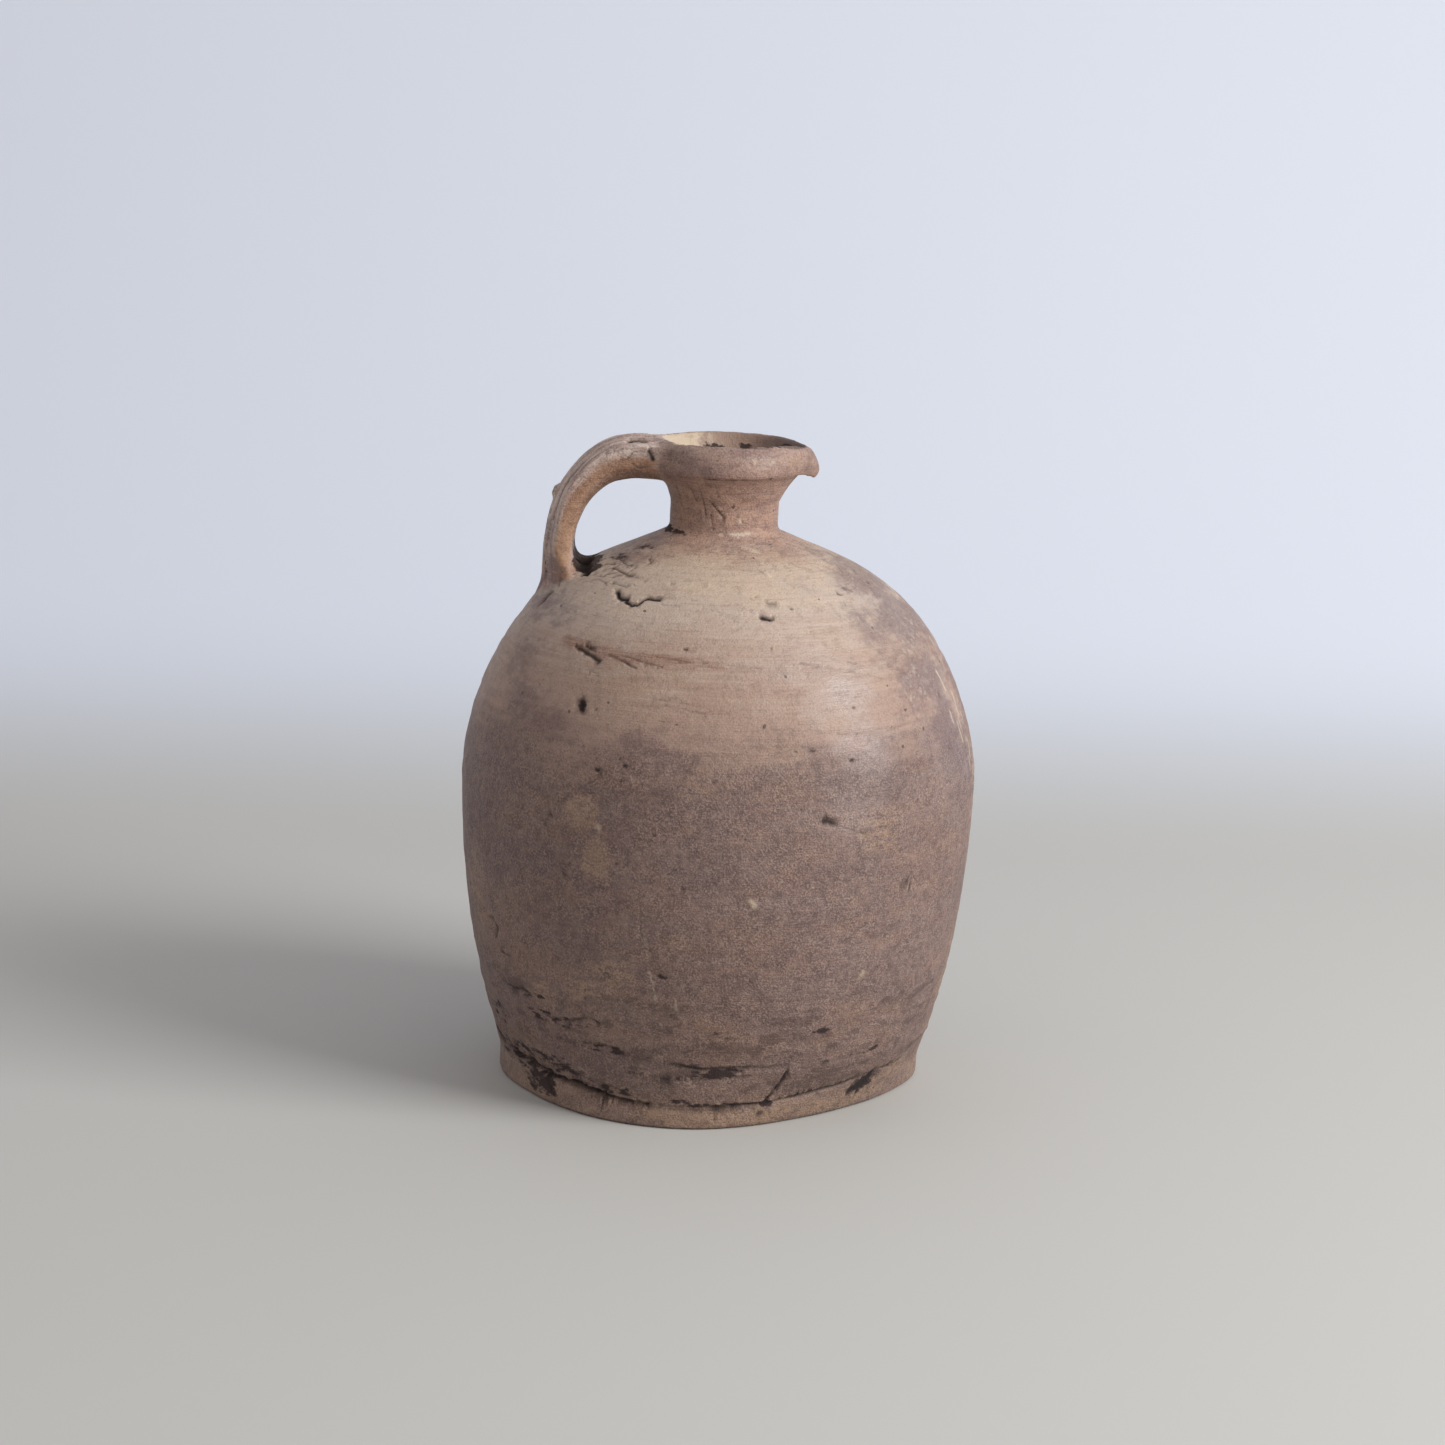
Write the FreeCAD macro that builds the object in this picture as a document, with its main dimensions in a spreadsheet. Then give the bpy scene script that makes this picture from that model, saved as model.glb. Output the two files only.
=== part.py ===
import FreeCAD, Part
import math
import os
import Sketcher

# Stoneware oil jug: a pot thrown on the wheel, with a rolled collar drawn out into a pouring beak
# and a pulled strap handle. It was joined as wet clay and fired once, so it is one solid.
# The axis of the pot is Z and the foot stands on Z = 0. The handle is at -X and the beak at +X.
# Lengths are in millimetres and angles in degrees.

SIZES = [
    ("belly_radius", 100.0, "outside of the belly at its widest"),
    ("belly_height", 116.5, "height of the widest place"),
    ("belly_arc", 108.0, "radius of the wall just above the widest place"),
    ("foot_inset", 17.5, "how far the foot band stands in from the belly"),
    ("foot_height", 10.5, "height of the foot band"),
    ("foot_bevel", 1.8, "worn bevel under the foot band"),
    ("heel_step", 0.9, "how far the wall stands outside the foot band"),
    ("heel_groove", 1.4, "depth of the line between foot band and wall"),
    ("shoulder_rise", 57.0, "from the widest place up to where the belly turns into the shoulder"),
    ("shoulder_arc", 82.0, "radius of the wall over the shoulder"),
    ("shoulder_slope", 22.8, "slope of the shoulder at the neck, from level"),
    ("throat_radius", 14.0, "bore of the throat, the seat for a cork"),
    ("neck_wall", 7.0, "thickness of the clay round the throat"),
    ("neck_round", 3.0, "hollow between shoulder and neck"),
    ("neck_length", 8.2, "from the shoulder's slope up to where the neck begins to open"),
    ("flare_arc", 18.0, "radius of the opening neck"),
    ("flare_turn", 51.6, "how far the opening neck has turned outwards under the collar"),
    ("collar_tall", 12.2, "height of the rolled collar"),
    ("collar_out", 8.3, "how far the collar stands out of the neck at its thickest"),
    ("collar_roll", 3.7, "how far the top of the rim stands in from there"),
    ("beak_out", 6.3, "how far the tip of the beak stands out of the collar"),
    ("beak_lean", 7.8, "how far the beak leans back up to the rim"),
    ("beak_round", 4.0, "radius of the beak's tip, seen from above"),
    ("wall", 7.0, "thickness of the thrown wall"),
    ("floor", 10.0, "thickness of the bottom"),
    ("floor_round", 14.0, "rounding inside between bottom and wall"),
    ("throat_depth", 21.8, "from the rim down to the straight bore"),
    ("lip", 1.6, "width of the rim's flat top"),
    ("mouth_wider", 4.5, "how much wider than the throat the mouth is inside the collar"),
    ("mouth_depth", 10.5, "how far under the rim that place is"),
    ("handle_start", 7.7, "level stretch of the handle, from the collar to its bend"),
    ("handle_reach", 27.2, "from there out to the upright leg"),
    ("handle_rise", 38.0, "from the top of the upright leg to the crown"),
    ("crown_drop", 7.1, "from the rim down to the middle of the strap at its crown"),
    ("crown_width", 26.0, "width of the strap at the crown"),
    ("crown_thick", 16.4, "thickness of the strap at the crown"),
    ("leg_width", 29.0, "width of the strap on the upright leg"),
    ("leg_thick", 11.6, "thickness of the strap on the upright leg"),
    ("root_width", 44.0, "width of the strap pressed on the shoulder"),
    ("root_thick", 23.0, "thickness of the strap pressed on the shoulder"),
    ("root_sink", 1.1, "how deep the pressed strap's outer edge is sunk into the shoulder"),
    ("root_blend", 6.0, "hollow of clay smoothed round the root"),
    ("crown_blend", 2.5, "how far the strap's end is smoothed out against the collar"),
    ("finger_width", 5.0, "width of the two finger grooves down the strap"),
    ("finger_depth", 1.4, "depth of the finger grooves"),
    ("finger_space", 9.5, "distance between the finger grooves"),
]

# Places that follow from the sizes. Each may use those above it.

TURN = "(Sizes.shoulder_rise / Sizes.belly_arc)"
SLOPE = "(Sizes.shoulder_slope * 1 deg)"
PLACES = [
    ("foot", "Sizes.belly_radius - Sizes.foot_inset", "outside of the foot band"),
    ("heel_drop", "Sizes.foot_inset - Sizes.heel_step", "from the belly in to the heel"),
    ("heel_height", "Sizes.foot_height + 2 * Sizes.heel_groove", "lower end of the wall"),
    ("side_rise", "Sizes.belly_height - heel_height", "from the heel up to the widest place"),
    ("side_arc", "(heel_drop^2 + side_rise^2) / (2 * heel_drop)", "radius of the side, upright at the belly"),
    ("tighter", "Sizes.belly_arc - Sizes.shoulder_arc", "how much tighter the shoulder is"),
    ("shoulder_out", f"Sizes.belly_radius - Sizes.belly_arc + tighter * sqrt(1 - {TURN}^2)",
     "centre of the shoulder's arc, from the axis"),
    ("shoulder_level", f"Sizes.belly_height + tighter * {TURN}", "height of that centre"),
    ("neck", "Sizes.throat_radius + Sizes.neck_wall", "outside of the neck"),
    ("slope_peak", f"shoulder_level + Sizes.shoulder_arc / cos({SLOPE}) + shoulder_out * tan({SLOPE})",
     "height at which the slope of the shoulder would meet the axis"),
    ("slope_top", f"slope_peak - neck * tan({SLOPE})", "height at which it meets the neck"),
    ("flare_foot", "slope_top + Sizes.neck_length", "where the neck begins to open"),
    ("flare_rise", "Sizes.flare_arc * sin(Sizes.flare_turn * 1 deg)", "height of the opening neck"),
    ("collar_foot", "flare_foot + flare_rise", "underside of the collar"),
    ("rim", "collar_foot + Sizes.collar_tall", "top of the jug"),
    ("core_top", "(collar_foot + rim) / 2", "top of the turned neck inside the collar"),
    ("collar", "neck + Sizes.collar_out", "collar at its thickest, from the axis"),
    ("rim_out", "collar - Sizes.collar_roll", "rim at its top, from the axis"),
    ("beak", "collar + Sizes.beak_out", "tip of the beak, from the axis"),
    ("beak_top", "beak - Sizes.beak_lean", "tip of the beak at the rim's top"),
    ("throat_top", "rim - Sizes.throat_depth", "upper end of the straight bore"),
    ("mouth_out", "Sizes.throat_radius + Sizes.mouth_wider", "mouth inside the collar, from the axis"),
    ("bend_out", "collar + Sizes.handle_start", "start of the handle's bend, from the axis"),
    ("leg_out", "bend_out + Sizes.handle_reach", "middle of the upright leg, from the axis"),
    ("crown", "rim - Sizes.crown_drop", "height of the strap's middle at its crown"),
    ("leg_top", "crown - Sizes.handle_rise", "top of the upright leg"),
    ("root_out", "leg_out + 0.05 * Sizes.root_thick", "middle of the pressed strap, from the axis"),
    ("root_edge", "root_out + Sizes.root_thick / 2", "outer edge of the pressed strap, from the axis"),
    ("root_rise", "sqrt(Sizes.shoulder_arc^2 - (root_edge - shoulder_out)^2)",
     "shoulder under that edge, above the centre of its arc"),
    ("root_level", "shoulder_level + root_rise - Sizes.root_sink", "lowest end of the pressed strap"),
]

doc = FreeCAD.newDocument("jug")


def fill_sheet(name, rows):
    """Sheet with one named cell a row: its meaning in column A and its content in column B."""
    table = doc.addObject("Spreadsheet::Sheet", name)
    for row, (alias, content, meaning) in enumerate(rows, start=1):
        table.set(f"A{row}", meaning)
        table.set(f"B{row}", content)
        table.setAlias(f"B{row}", alias)
    doc.recompute()
    return table


sizes = fill_sheet("Sizes", [(alias, str(value), meaning) for alias, value, meaning in SIZES])
places = fill_sheet("Places", [(alias, f"={formula}", meaning) for alias, formula, meaning in PLACES])

body = doc.addObject("PartDesign::Body", "Jug")
body.Label = "jug"
PLANES = {feature.Role: feature for feature in body.Origin.OriginFeatures}
ALL_ROUND = 360.0


def size(alias):
    """Number that the sheet of sizes holds under this alias."""
    return float(getattr(sizes, alias))


def place(alias):
    """Number that the sheet of places works out under this alias."""
    return float(getattr(places, alias))


def worked_out(formula):
    """Value of a formula on the cells of both sheets."""
    return float(body.evalExpression(formula))


def point(across, up):
    return FreeCAD.Vector(across, up, 0)


def new_sketch(name, plane):
    """Sketch flat on one of the body's own origin planes."""
    sketch = body.newObject("Sketcher::SketchObject", name)
    sketch.AttachmentSupport = (PLANES[plane], [""])
    sketch.MapMode = "FlatFace"
    return sketch


def bind(sketch, name, formula, kind, *where):
    """Dimension of a sketch that follows the sheets."""
    index = sketch.addConstraint(Sketcher.Constraint(kind, *where, worked_out(formula)))
    sketch.renameConstraint(index, name)
    sketch.setExpression(f"Constraints.{name}", formula)


def line(sketch, start, end):
    """Straight edge, given as its number, its first point and its last point."""
    return (sketch.addGeometry(Part.LineSegment(start, end), False), 1, 2)


def arc(sketch, centre, radius, first, last):
    """Arc from one angle to another, given like a line; a sketch keeps arcs anticlockwise."""
    circle = Part.Circle(centre, FreeCAD.Vector(0, 0, 1), radius)
    low, high = sorted((math.radians(first), math.radians(last)))
    index = sketch.addGeometry(Part.ArcOfCircle(circle, low, high), False)
    return (index, 1, 2) if last > first else (index, 2, 1)


def join(sketch, edge, following, smooth=False):
    """One edge ends where the following edge starts, and runs on smoothly if asked."""
    kind = "Tangent" if smooth else "Coincident"
    sketch.addConstraint(Sketcher.Constraint(kind, edge[0], edge[2], following[0], following[1]))


def chain(sketch, edges, smooth=()):
    """Edges joined one after another into a closed outline; smooth names the joints that run on."""
    for number, edge in enumerate(edges):
        join(sketch, edge, edges[(number + 1) % len(edges)], number in smooth)


# The thrown wall: side, belly, shoulder and the slope up to the neck.
# The outside and the inside are the same curves, one wall thickness apart.


def wall_curves(sketch, skin, start_angle, neck_at):
    """Four curves of the wall from its lower end up to the neck, set in from the outside by skin."""
    depth = worked_out(skin)
    belly = size("belly_radius")
    level = size("belly_height")
    side = arc(sketch, point(belly - place("side_arc"), level), place("side_arc") - depth, start_angle, 0)
    turn = math.asin(worked_out(TURN))
    belly_centre = point(belly - size("belly_arc"), level)
    round_belly = arc(sketch, belly_centre, size("belly_arc") - depth, 0, math.degrees(turn))
    shoulder_centre = point(place("shoulder_out"), place("shoulder_level"))
    slope = math.radians(size("shoulder_slope"))
    inset = size("shoulder_arc") - depth
    shoulder = arc(sketch, shoulder_centre, inset, math.degrees(turn), 90 - size("shoulder_slope"))
    slope_start = shoulder_centre + point(inset * math.sin(slope), inset * math.cos(slope))
    run = slope_start.x - neck_at
    sloping = line(sketch, slope_start, slope_start + point(-run, run * math.tan(slope)))
    bind(sketch, "belly", f"Sizes.belly_radius - {skin}", "DistanceX", -1, 1, side[0], side[2])
    bind(sketch, "belly_level", "Sizes.belly_height", "DistanceY", -1, 1, side[0], side[2])
    bind(sketch, "side_level", "Sizes.belly_height", "DistanceY", -1, 1, side[0], 3)
    bind(sketch, "turn_level", "Sizes.belly_height", "DistanceY", -1, 1, round_belly[0], 3)
    bind(sketch, "belly_arc", f"Sizes.belly_arc - {skin}", "Radius", round_belly[0])
    turn_height = f"Sizes.belly_height + (Sizes.belly_arc - {skin}) * {TURN}"
    bind(sketch, "shoulder_level", turn_height, "DistanceY", -1, 1, shoulder[0], shoulder[1])
    bind(sketch, "shoulder_arc", f"Sizes.shoulder_arc - {skin}", "Radius", shoulder[0])
    angle = sketch.addConstraint(Sketcher.Constraint("Angle", -1, 1, sloping[0], 1, math.pi - slope))
    sketch.renameConstraint(angle, "slope")
    sketch.setExpression("Constraints.slope", f"180 deg - {SLOPE}")
    return [side, round_belly, shoulder, sloping]


pot = new_sketch("PotOutline", "XZ_Plane")
foot = place("foot")
foot_top = size("foot_height")
groove = size("heel_groove")
heel = point(foot + size("heel_step"), place("heel_height"))
groove_bottom = point(foot - groove, foot_top + groove)
heel_angle = -math.degrees(math.asin(place("side_rise") / place("side_arc")))
neck = place("neck")
neck_round = size("neck_round")
hollow_centre = point(neck + neck_round, place("slope_top") + neck_round)
flare_centre = point(neck + size("flare_arc"), place("flare_foot"))
flare_turn = math.radians(size("flare_turn"))
flare_end = flare_centre + point(-math.cos(flare_turn), math.sin(flare_turn)) * size("flare_arc")
core_top = place("core_top")

under = line(pot, point(0, 0), point(foot, 0))
band = line(pot, point(foot, 0), point(foot, foot_top))
groove_in = line(pot, point(foot, foot_top), groove_bottom)
groove_out = line(pot, groove_bottom, heel)
outer_wall = wall_curves(pot, "0", heel_angle, neck + neck_round / 3)
neck_hollow = arc(pot, hollow_centre, neck_round, 270 - size("shoulder_slope"), 180)
neck_wall = line(pot, point(neck, hollow_centre.y), point(neck, flare_centre.y))
flare = arc(pot, flare_centre, size("flare_arc"), 180, 180 - size("flare_turn"))
collar_core = line(pot, flare_end, point(flare_end.x, core_top))
top = line(pot, point(flare_end.x, core_top), point(0, core_top))
axis = line(pot, point(0, core_top), point(0, 0))
chain(pot, [under, band, groove_in, groove_out, *outer_wall, neck_hollow, neck_wall, flare,
            collar_core, top, axis], smooth=(5, 6, 7, 8, 9))
pot.addConstraint(Sketcher.Constraint("Coincident", under[0], 1, -1, 1))
for level_edge in (under, top):
    pot.addConstraint(Sketcher.Constraint("Horizontal", level_edge[0]))
for upright_edge in (band, neck_wall, collar_core, axis):
    pot.addConstraint(Sketcher.Constraint("Vertical", upright_edge[0]))
bind(pot, "foot", "Places.foot", "DistanceX", under[0], 1, under[0], 2)
bind(pot, "band", "Sizes.foot_height", "DistanceY", band[0], 1, band[0], 2)
bind(pot, "groove_in", "Sizes.heel_groove", "DistanceX", groove_in[0], 2, groove_in[0], 1)
bind(pot, "groove_up", "Sizes.heel_groove", "DistanceY", groove_in[0], 1, groove_in[0], 2)
bind(pot, "heel_up", "Sizes.heel_groove", "DistanceY", groove_out[0], 1, groove_out[0], 2)
bind(pot, "heel_out", "Sizes.heel_groove + Sizes.heel_step", "DistanceX", groove_out[0], 1, groove_out[0], 2)
bind(pot, "neck", "Places.neck", "DistanceX", -1, 1, neck_wall[0], 1)
bind(pot, "neck_hollow", "Sizes.neck_round", "Radius", neck_hollow[0])
bind(pot, "flare_level", "Places.flare_foot", "DistanceY", -1, 1, neck_wall[0], 2)
bind(pot, "flare", "Sizes.flare_arc", "Radius", flare[0])
bind(pot, "collar_level", "Places.collar_foot", "DistanceY", -1, 1, collar_core[0], 1)
bind(pot, "core_top", "Places.core_top", "DistanceY", -1, 1, collar_core[0], 2)

thrown = body.newObject("PartDesign::Revolution", "ThrownPot")
thrown.Profile = pot
thrown.ReferenceAxis = (pot, ["V_Axis"])
thrown.Angle = ALL_ROUND
doc.recompute()


def dress(kind, name, base, edges, dimension, formula):
    """Fillet or chamfer along some edges of the feature made last."""
    feature = body.newObject(kind, name)
    feature.Base = (base, [f"Edge{number}" for number in edges])
    feature.setExpression(dimension, formula)
    doc.recompute()
    return feature


def edges_where(feature, test):
    """Numbers of the feature's edges whose box passes the test."""
    boxes = [edge.BoundBox for edge in feature.Shape.Edges]
    return [number for number, box in enumerate(boxes, start=1) if test(box)]


NEAR = 0.01
foot_edge = edges_where(thrown, lambda box: box.ZMax < NEAR and box.XMax > NEAR)
dress("PartDesign::Chamfer", "FootBevel", thrown, foot_edge, "Size", "Sizes.foot_bevel")

# The collar: seen from above each level is an egg, round over the neck and drawn out to the beak.
# A level is its height, the radius of its round end and the reach of its pointed end.

COLLAR = [
    ("Places.collar_foot", "Places.collar - 0.2 * Sizes.collar_roll", "Places.beak - 0.12 * Sizes.beak_lean"),
    ("Places.collar_foot + 0.25 * Sizes.collar_tall", "Places.collar", "Places.beak"),
    ("Places.collar_foot + 0.6 * Sizes.collar_tall", "Places.collar", "Places.beak - 0.2 * Sizes.beak_lean"),
    ("Places.collar_foot + 0.86 * Sizes.collar_tall", "Places.collar - 0.35 * Sizes.collar_roll",
     "Places.beak - 0.5 * Sizes.beak_lean"),
    ("Places.rim", "Places.rim_out", "Places.beak_top"),
]
CHIN = [
    ("Places.flare_foot", "Places.neck - Sizes.lip", "Places.neck"),
    ("Places.flare_foot + 0.5 * Places.flare_rise", "Places.neck - Sizes.lip",
     "0.78 * Places.neck + 0.22 * Places.beak"),
    ("Places.flare_foot + 0.8 * Places.flare_rise", "Places.neck", "0.55 * Places.neck + 0.45 * Places.beak"),
    ("Places.collar_foot + 0.1 * Sizes.collar_tall", "Places.neck + Sizes.lip",
     "0.2 * Places.neck + 0.8 * Places.beak"),
]
MOUTH = [
    ("Places.rim + 2 * Sizes.lip", "Places.rim_out", "Places.beak_top + 3 * Sizes.lip"),
    ("Places.rim - Sizes.lip", "Places.rim_out - 2 * Sizes.lip", "Places.beak_top + 0.5 * Sizes.lip"),
    ("Places.rim - Sizes.mouth_depth", "Places.mouth_out", "Places.mouth_out + 2 * Sizes.lip"),
    ("Places.throat_top - 2.5 * Sizes.lip", "Sizes.throat_radius - Sizes.lip",
     "Sizes.throat_radius - 0.5 * Sizes.lip"),
]


def egg(name, height, radius, reach, tip):
    """Level outline: an arc over the neck, a small arc at the beak, and a straight edge each side."""
    sketch = new_sketch(name, "XY_Plane")
    sketch.setExpression("AttachmentOffset.Base.z", height)
    big, far, small = worked_out(radius), worked_out(reach), worked_out(tip)
    lean = math.degrees(math.acos((big - small) / (far - small)))
    nose = point(far - small, 0)
    away = point(math.cos(math.radians(lean)), math.sin(math.radians(lean)))
    mirrored = point(away.x, -away.y)
    back = arc(sketch, point(0, 0), big, lean, ALL_ROUND - lean)
    right = line(sketch, mirrored * big, nose + mirrored * small)
    front = arc(sketch, nose, small, -lean, lean)
    left = line(sketch, nose + away * small, away * big)
    chain(sketch, [back, right, front, left], smooth=(0, 1, 2, 3))
    sketch.addConstraint(Sketcher.Constraint("Coincident", back[0], 3, -1, 1))
    sketch.addConstraint(Sketcher.Constraint("PointOnObject", front[0], 3, -1))
    bind(sketch, "round", radius, "Radius", back[0])
    bind(sketch, "tip", tip, "Radius", front[0])
    bind(sketch, "nose", f"{reach} - {tip}", "DistanceX", -1, 1, front[0], 3)
    return sketch


def loft(name, kind, sections):
    """Solid, or hollow, that runs smoothly through its sections."""
    feature = body.newObject(kind, name)
    feature.Profile = sections[0]
    feature.Sections = [(section, [""]) for section in sections[1:]]
    doc.recompute()
    return feature


chin = [egg(f"Chin{number}", *level, "Sizes.beak_round") for number, level in enumerate(CHIN)]
loft("Chin", "PartDesign::AdditiveLoft", chin)
rings = [egg(f"Collar{number}", *level, "Sizes.beak_round") for number, level in enumerate(COLLAR)]
loft("Collar", "PartDesign::AdditiveLoft", rings)

# The handle: a pulled strap, oval in section. It leaves the collar level, bends over as a quarter
# of an ellipse, comes down upright and is pressed out wide on the shoulder.
# A station is its place along the strap, its turn and its width and thickness.


def bent(share_of_bend):
    """Station on the bend, from 0 at the crown to 1 at the top of the upright leg."""
    angle = f"{90 * share_of_bend:g} deg"
    out = f"Places.bend_out + Sizes.handle_reach * sin({angle})"
    up = f"Places.crown - Sizes.handle_rise * (1 - cos({angle}))"
    turn = f"atan2(Sizes.handle_rise * sin({angle}); Sizes.handle_reach * cos({angle}))"
    width = f"Sizes.crown_width + {share_of_bend} * (Sizes.leg_width - Sizes.crown_width)"
    thick = f"Sizes.crown_thick + {share_of_bend} * (Sizes.leg_thick - Sizes.crown_thick)"
    return out, up, turn, width, thick


STRAP = [
    ("Places.collar - Sizes.crown_thick / 2", "Places.crown - Sizes.crown_blend / 2", "0 deg",
     "1.15 * Sizes.crown_width + 2 * Sizes.crown_blend", "Sizes.crown_thick + Sizes.crown_blend"),
    ("Places.collar + Sizes.crown_blend", "Places.crown", "0 deg",
     "1.05 * Sizes.crown_width", "Sizes.crown_thick"),
    bent(0),
    bent(0.25),
    bent(0.5),
    bent(0.75),
    bent(1),
    ("Places.leg_out", "(Places.leg_top + Places.root_level) / 2", "90 deg",
     "0.6 * Sizes.leg_width + 0.4 * Sizes.root_width", "0.8 * Sizes.leg_thick + 0.2 * Sizes.root_thick"),
    ("Places.root_out", "Places.root_level", "90 deg", "Sizes.root_width", "Sizes.root_thick"),
]


def strap_section(name, out, up, turn, width, thick, aside="0", lift="0"):
    """Oval across the strap, standing square to its run and set off from its middle if asked."""
    sketch = new_sketch(name, "YZ_Plane")
    tilt = FreeCAD.Rotation(FreeCAD.Vector(1, 0, 0), -1)
    sketch.AttachmentOffset = FreeCAD.Placement(FreeCAD.Vector(), tilt)
    sketch.setExpression("AttachmentOffset.Base.y", up)
    sketch.setExpression("AttachmentOffset.Base.z", f"-({out})")
    sketch.setExpression("AttachmentOffset.Rotation.Angle", f"-({turn})")
    middle = point(worked_out(aside), worked_out(lift))
    far_end = middle + point(worked_out(width) / 2, 0)
    near_top = middle + point(0, worked_out(thick) / 2)
    oval = sketch.addGeometry(Part.Ellipse(far_end, near_top, middle), False)
    sketch.exposeInternalGeometry(oval)
    across, through = oval + 1, oval + 2
    sketch.addConstraint(Sketcher.Constraint("Horizontal", across))
    bind(sketch, "aside", aside, "DistanceX", -1, 1, oval, 3)
    bind(sketch, "lift", lift, "DistanceY", -1, 1, oval, 3)
    bind(sketch, "width", width, "Distance", across)
    bind(sketch, "thickness", thick, "Distance", through)
    return sketch


ovals = [strap_section(f"Strap{number}", *station) for number, station in enumerate(STRAP)]
strap = loft("Strap", "PartDesign::AdditiveLoft", ovals)

# Wet clay was smoothed into the joint of strap and shoulder. Against the collar the strap itself
# was pressed wider and thicker, which its first two stations do.


def on_shoulder(box):
    """True for the joint of strap and shoulder, outside the collar and lower than it."""
    level = box.ZMin > place("root_level") and box.ZMax < place("collar_foot")
    return level and box.XMax < -place("collar") and box.XMin < box.XMax - NEAR


dress("PartDesign::Fillet", "PressedRoot", strap, edges_where(strap, on_shoulder),
      "Radius", "Sizes.root_blend")

# Two lengthwise grooves that the potter's fingers left down the outside of the strap.

GROOVED = (0.1, 0.4, 0.7, 1)
for side_name, sign in (("Left", -1), ("Right", 1)):
    marks = []
    for number, share_of_bend in enumerate(GROOVED):
        out, up, turn, width, thick = bent(share_of_bend)
        aside = f"{sign} * Sizes.finger_space / 2"
        lift = f"({thick}) / 2 * sqrt(1 - (Sizes.finger_space / ({width}))^2)"
        marks.append(strap_section(f"{side_name}Finger{number}", out, up, turn, "Sizes.finger_width",
                                   "2 * Sizes.finger_depth", aside, lift))
    loft(f"{side_name}Groove", "PartDesign::SubtractiveLoft", marks)

# The hollow: the inside follows the outside one wall thickness in, up to the straight throat.

hollow = new_sketch("HollowOutline", "XZ_Plane")
floor = size("floor")
corner = size("floor_round")
side_centre = point(size("belly_radius") - place("side_arc"), size("belly_height"))
corner_drop = size("belly_height") - floor - corner
corner_run = math.sqrt((place("side_arc") - size("wall") - corner) ** 2 - corner_drop ** 2)
corner_centre = side_centre + point(corner_run, -corner_drop)
corner_angle = -math.degrees(math.atan2(corner_drop, corner_run))
throat = size("throat_radius")
throat_foot = place("slope_top") - size("wall")
throat_top = place("throat_top")

inner_floor = line(hollow, point(0, floor), point(corner_centre.x, floor))
inner_corner = arc(hollow, corner_centre, corner, -90, corner_angle)
inner_wall = wall_curves(hollow, "Sizes.wall", corner_angle, throat)
bore = line(hollow, point(throat, throat_foot), point(throat, throat_top))
bore_top = line(hollow, point(throat, throat_top), point(0, throat_top))
bore_axis = line(hollow, point(0, throat_top), point(0, floor))
chain(hollow, [inner_floor, inner_corner, *inner_wall, bore, bore_top, bore_axis], smooth=(0, 1, 3, 4))
for level_edge in (inner_floor, bore_top):
    hollow.addConstraint(Sketcher.Constraint("Horizontal", level_edge[0]))
hollow.addConstraint(Sketcher.Constraint("Vertical", bore[0]))
for end in (1, 2):
    hollow.addConstraint(Sketcher.Constraint("PointOnObject", bore_axis[0], end, -2))
bind(hollow, "floor", "Sizes.floor", "DistanceY", -1, 1, inner_floor[0], 1)
bind(hollow, "corner", "Sizes.floor_round", "Radius", inner_corner[0])
bind(hollow, "side_arc", "Places.side_arc - Sizes.wall", "Radius", inner_wall[0][0])
bind(hollow, "throat", "Sizes.throat_radius", "DistanceX", -1, 1, bore[0], 1)
bind(hollow, "throat_top", "Places.throat_top", "DistanceY", -1, 1, bore[0], 2)

inside = body.newObject("PartDesign::Groove", "Inside")
inside.Profile = hollow
inside.ReferenceAxis = (hollow, ["V_Axis"])
inside.Angle = ALL_ROUND

funnel = [egg(f"Mouth{number}", *level, "2 * Sizes.lip") for number, level in enumerate(MOUTH)]
loft("Mouth", "PartDesign::SubtractiveLoft", funnel)

# Every feature has to be sound and each one has to change the solid before anything is written.

broken = [item.Name for item in doc.Objects if {"Invalid", "Error"} & set(item.State)]
if broken:
    raise RuntimeError(f"features that failed: {broken}")
steps = [item for item in body.Group if item.isDerivedFrom("PartDesign::Feature")]
for earlier, later in zip(steps, steps[1:]):
    if abs(earlier.Shape.Volume - later.Shape.Volume) < NEAR:
        raise RuntimeError(f"{later.Name} changes nothing")
shape = body.Shape
if shape.isNull() or not shape.isValid() or len(shape.Solids) != 1:
    raise RuntimeError("the jug is not one sound solid")

os.makedirs("parts", exist_ok=True)
shape.exportStep(f"parts/{body.Label}.step")
print(f"{body.Label}: {len(shape.Faces)} faces, {shape.Volume / 1000:.0f} ml of clay")
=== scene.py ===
# %% [markdown]
# # A salt-fired stoneware oil jug
# The jug is one fired piece: a pot thrown on the wheel, a rolled collar pulled out into a beak,
# and a strap handle pressed on while the clay was wet. Its CAD solid gives the exact sizes. Here
# the same form gets what hands, kiln and years did to it: throwing rings, a foot that sagged,
# a crack above the foot, gouges, pits, scorched and pale patches, and a satin skin.

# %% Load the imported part
import math

import bmesh
import bpy
import numpy as np
import openvdb
from mathutils import Matrix, Vector


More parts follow.
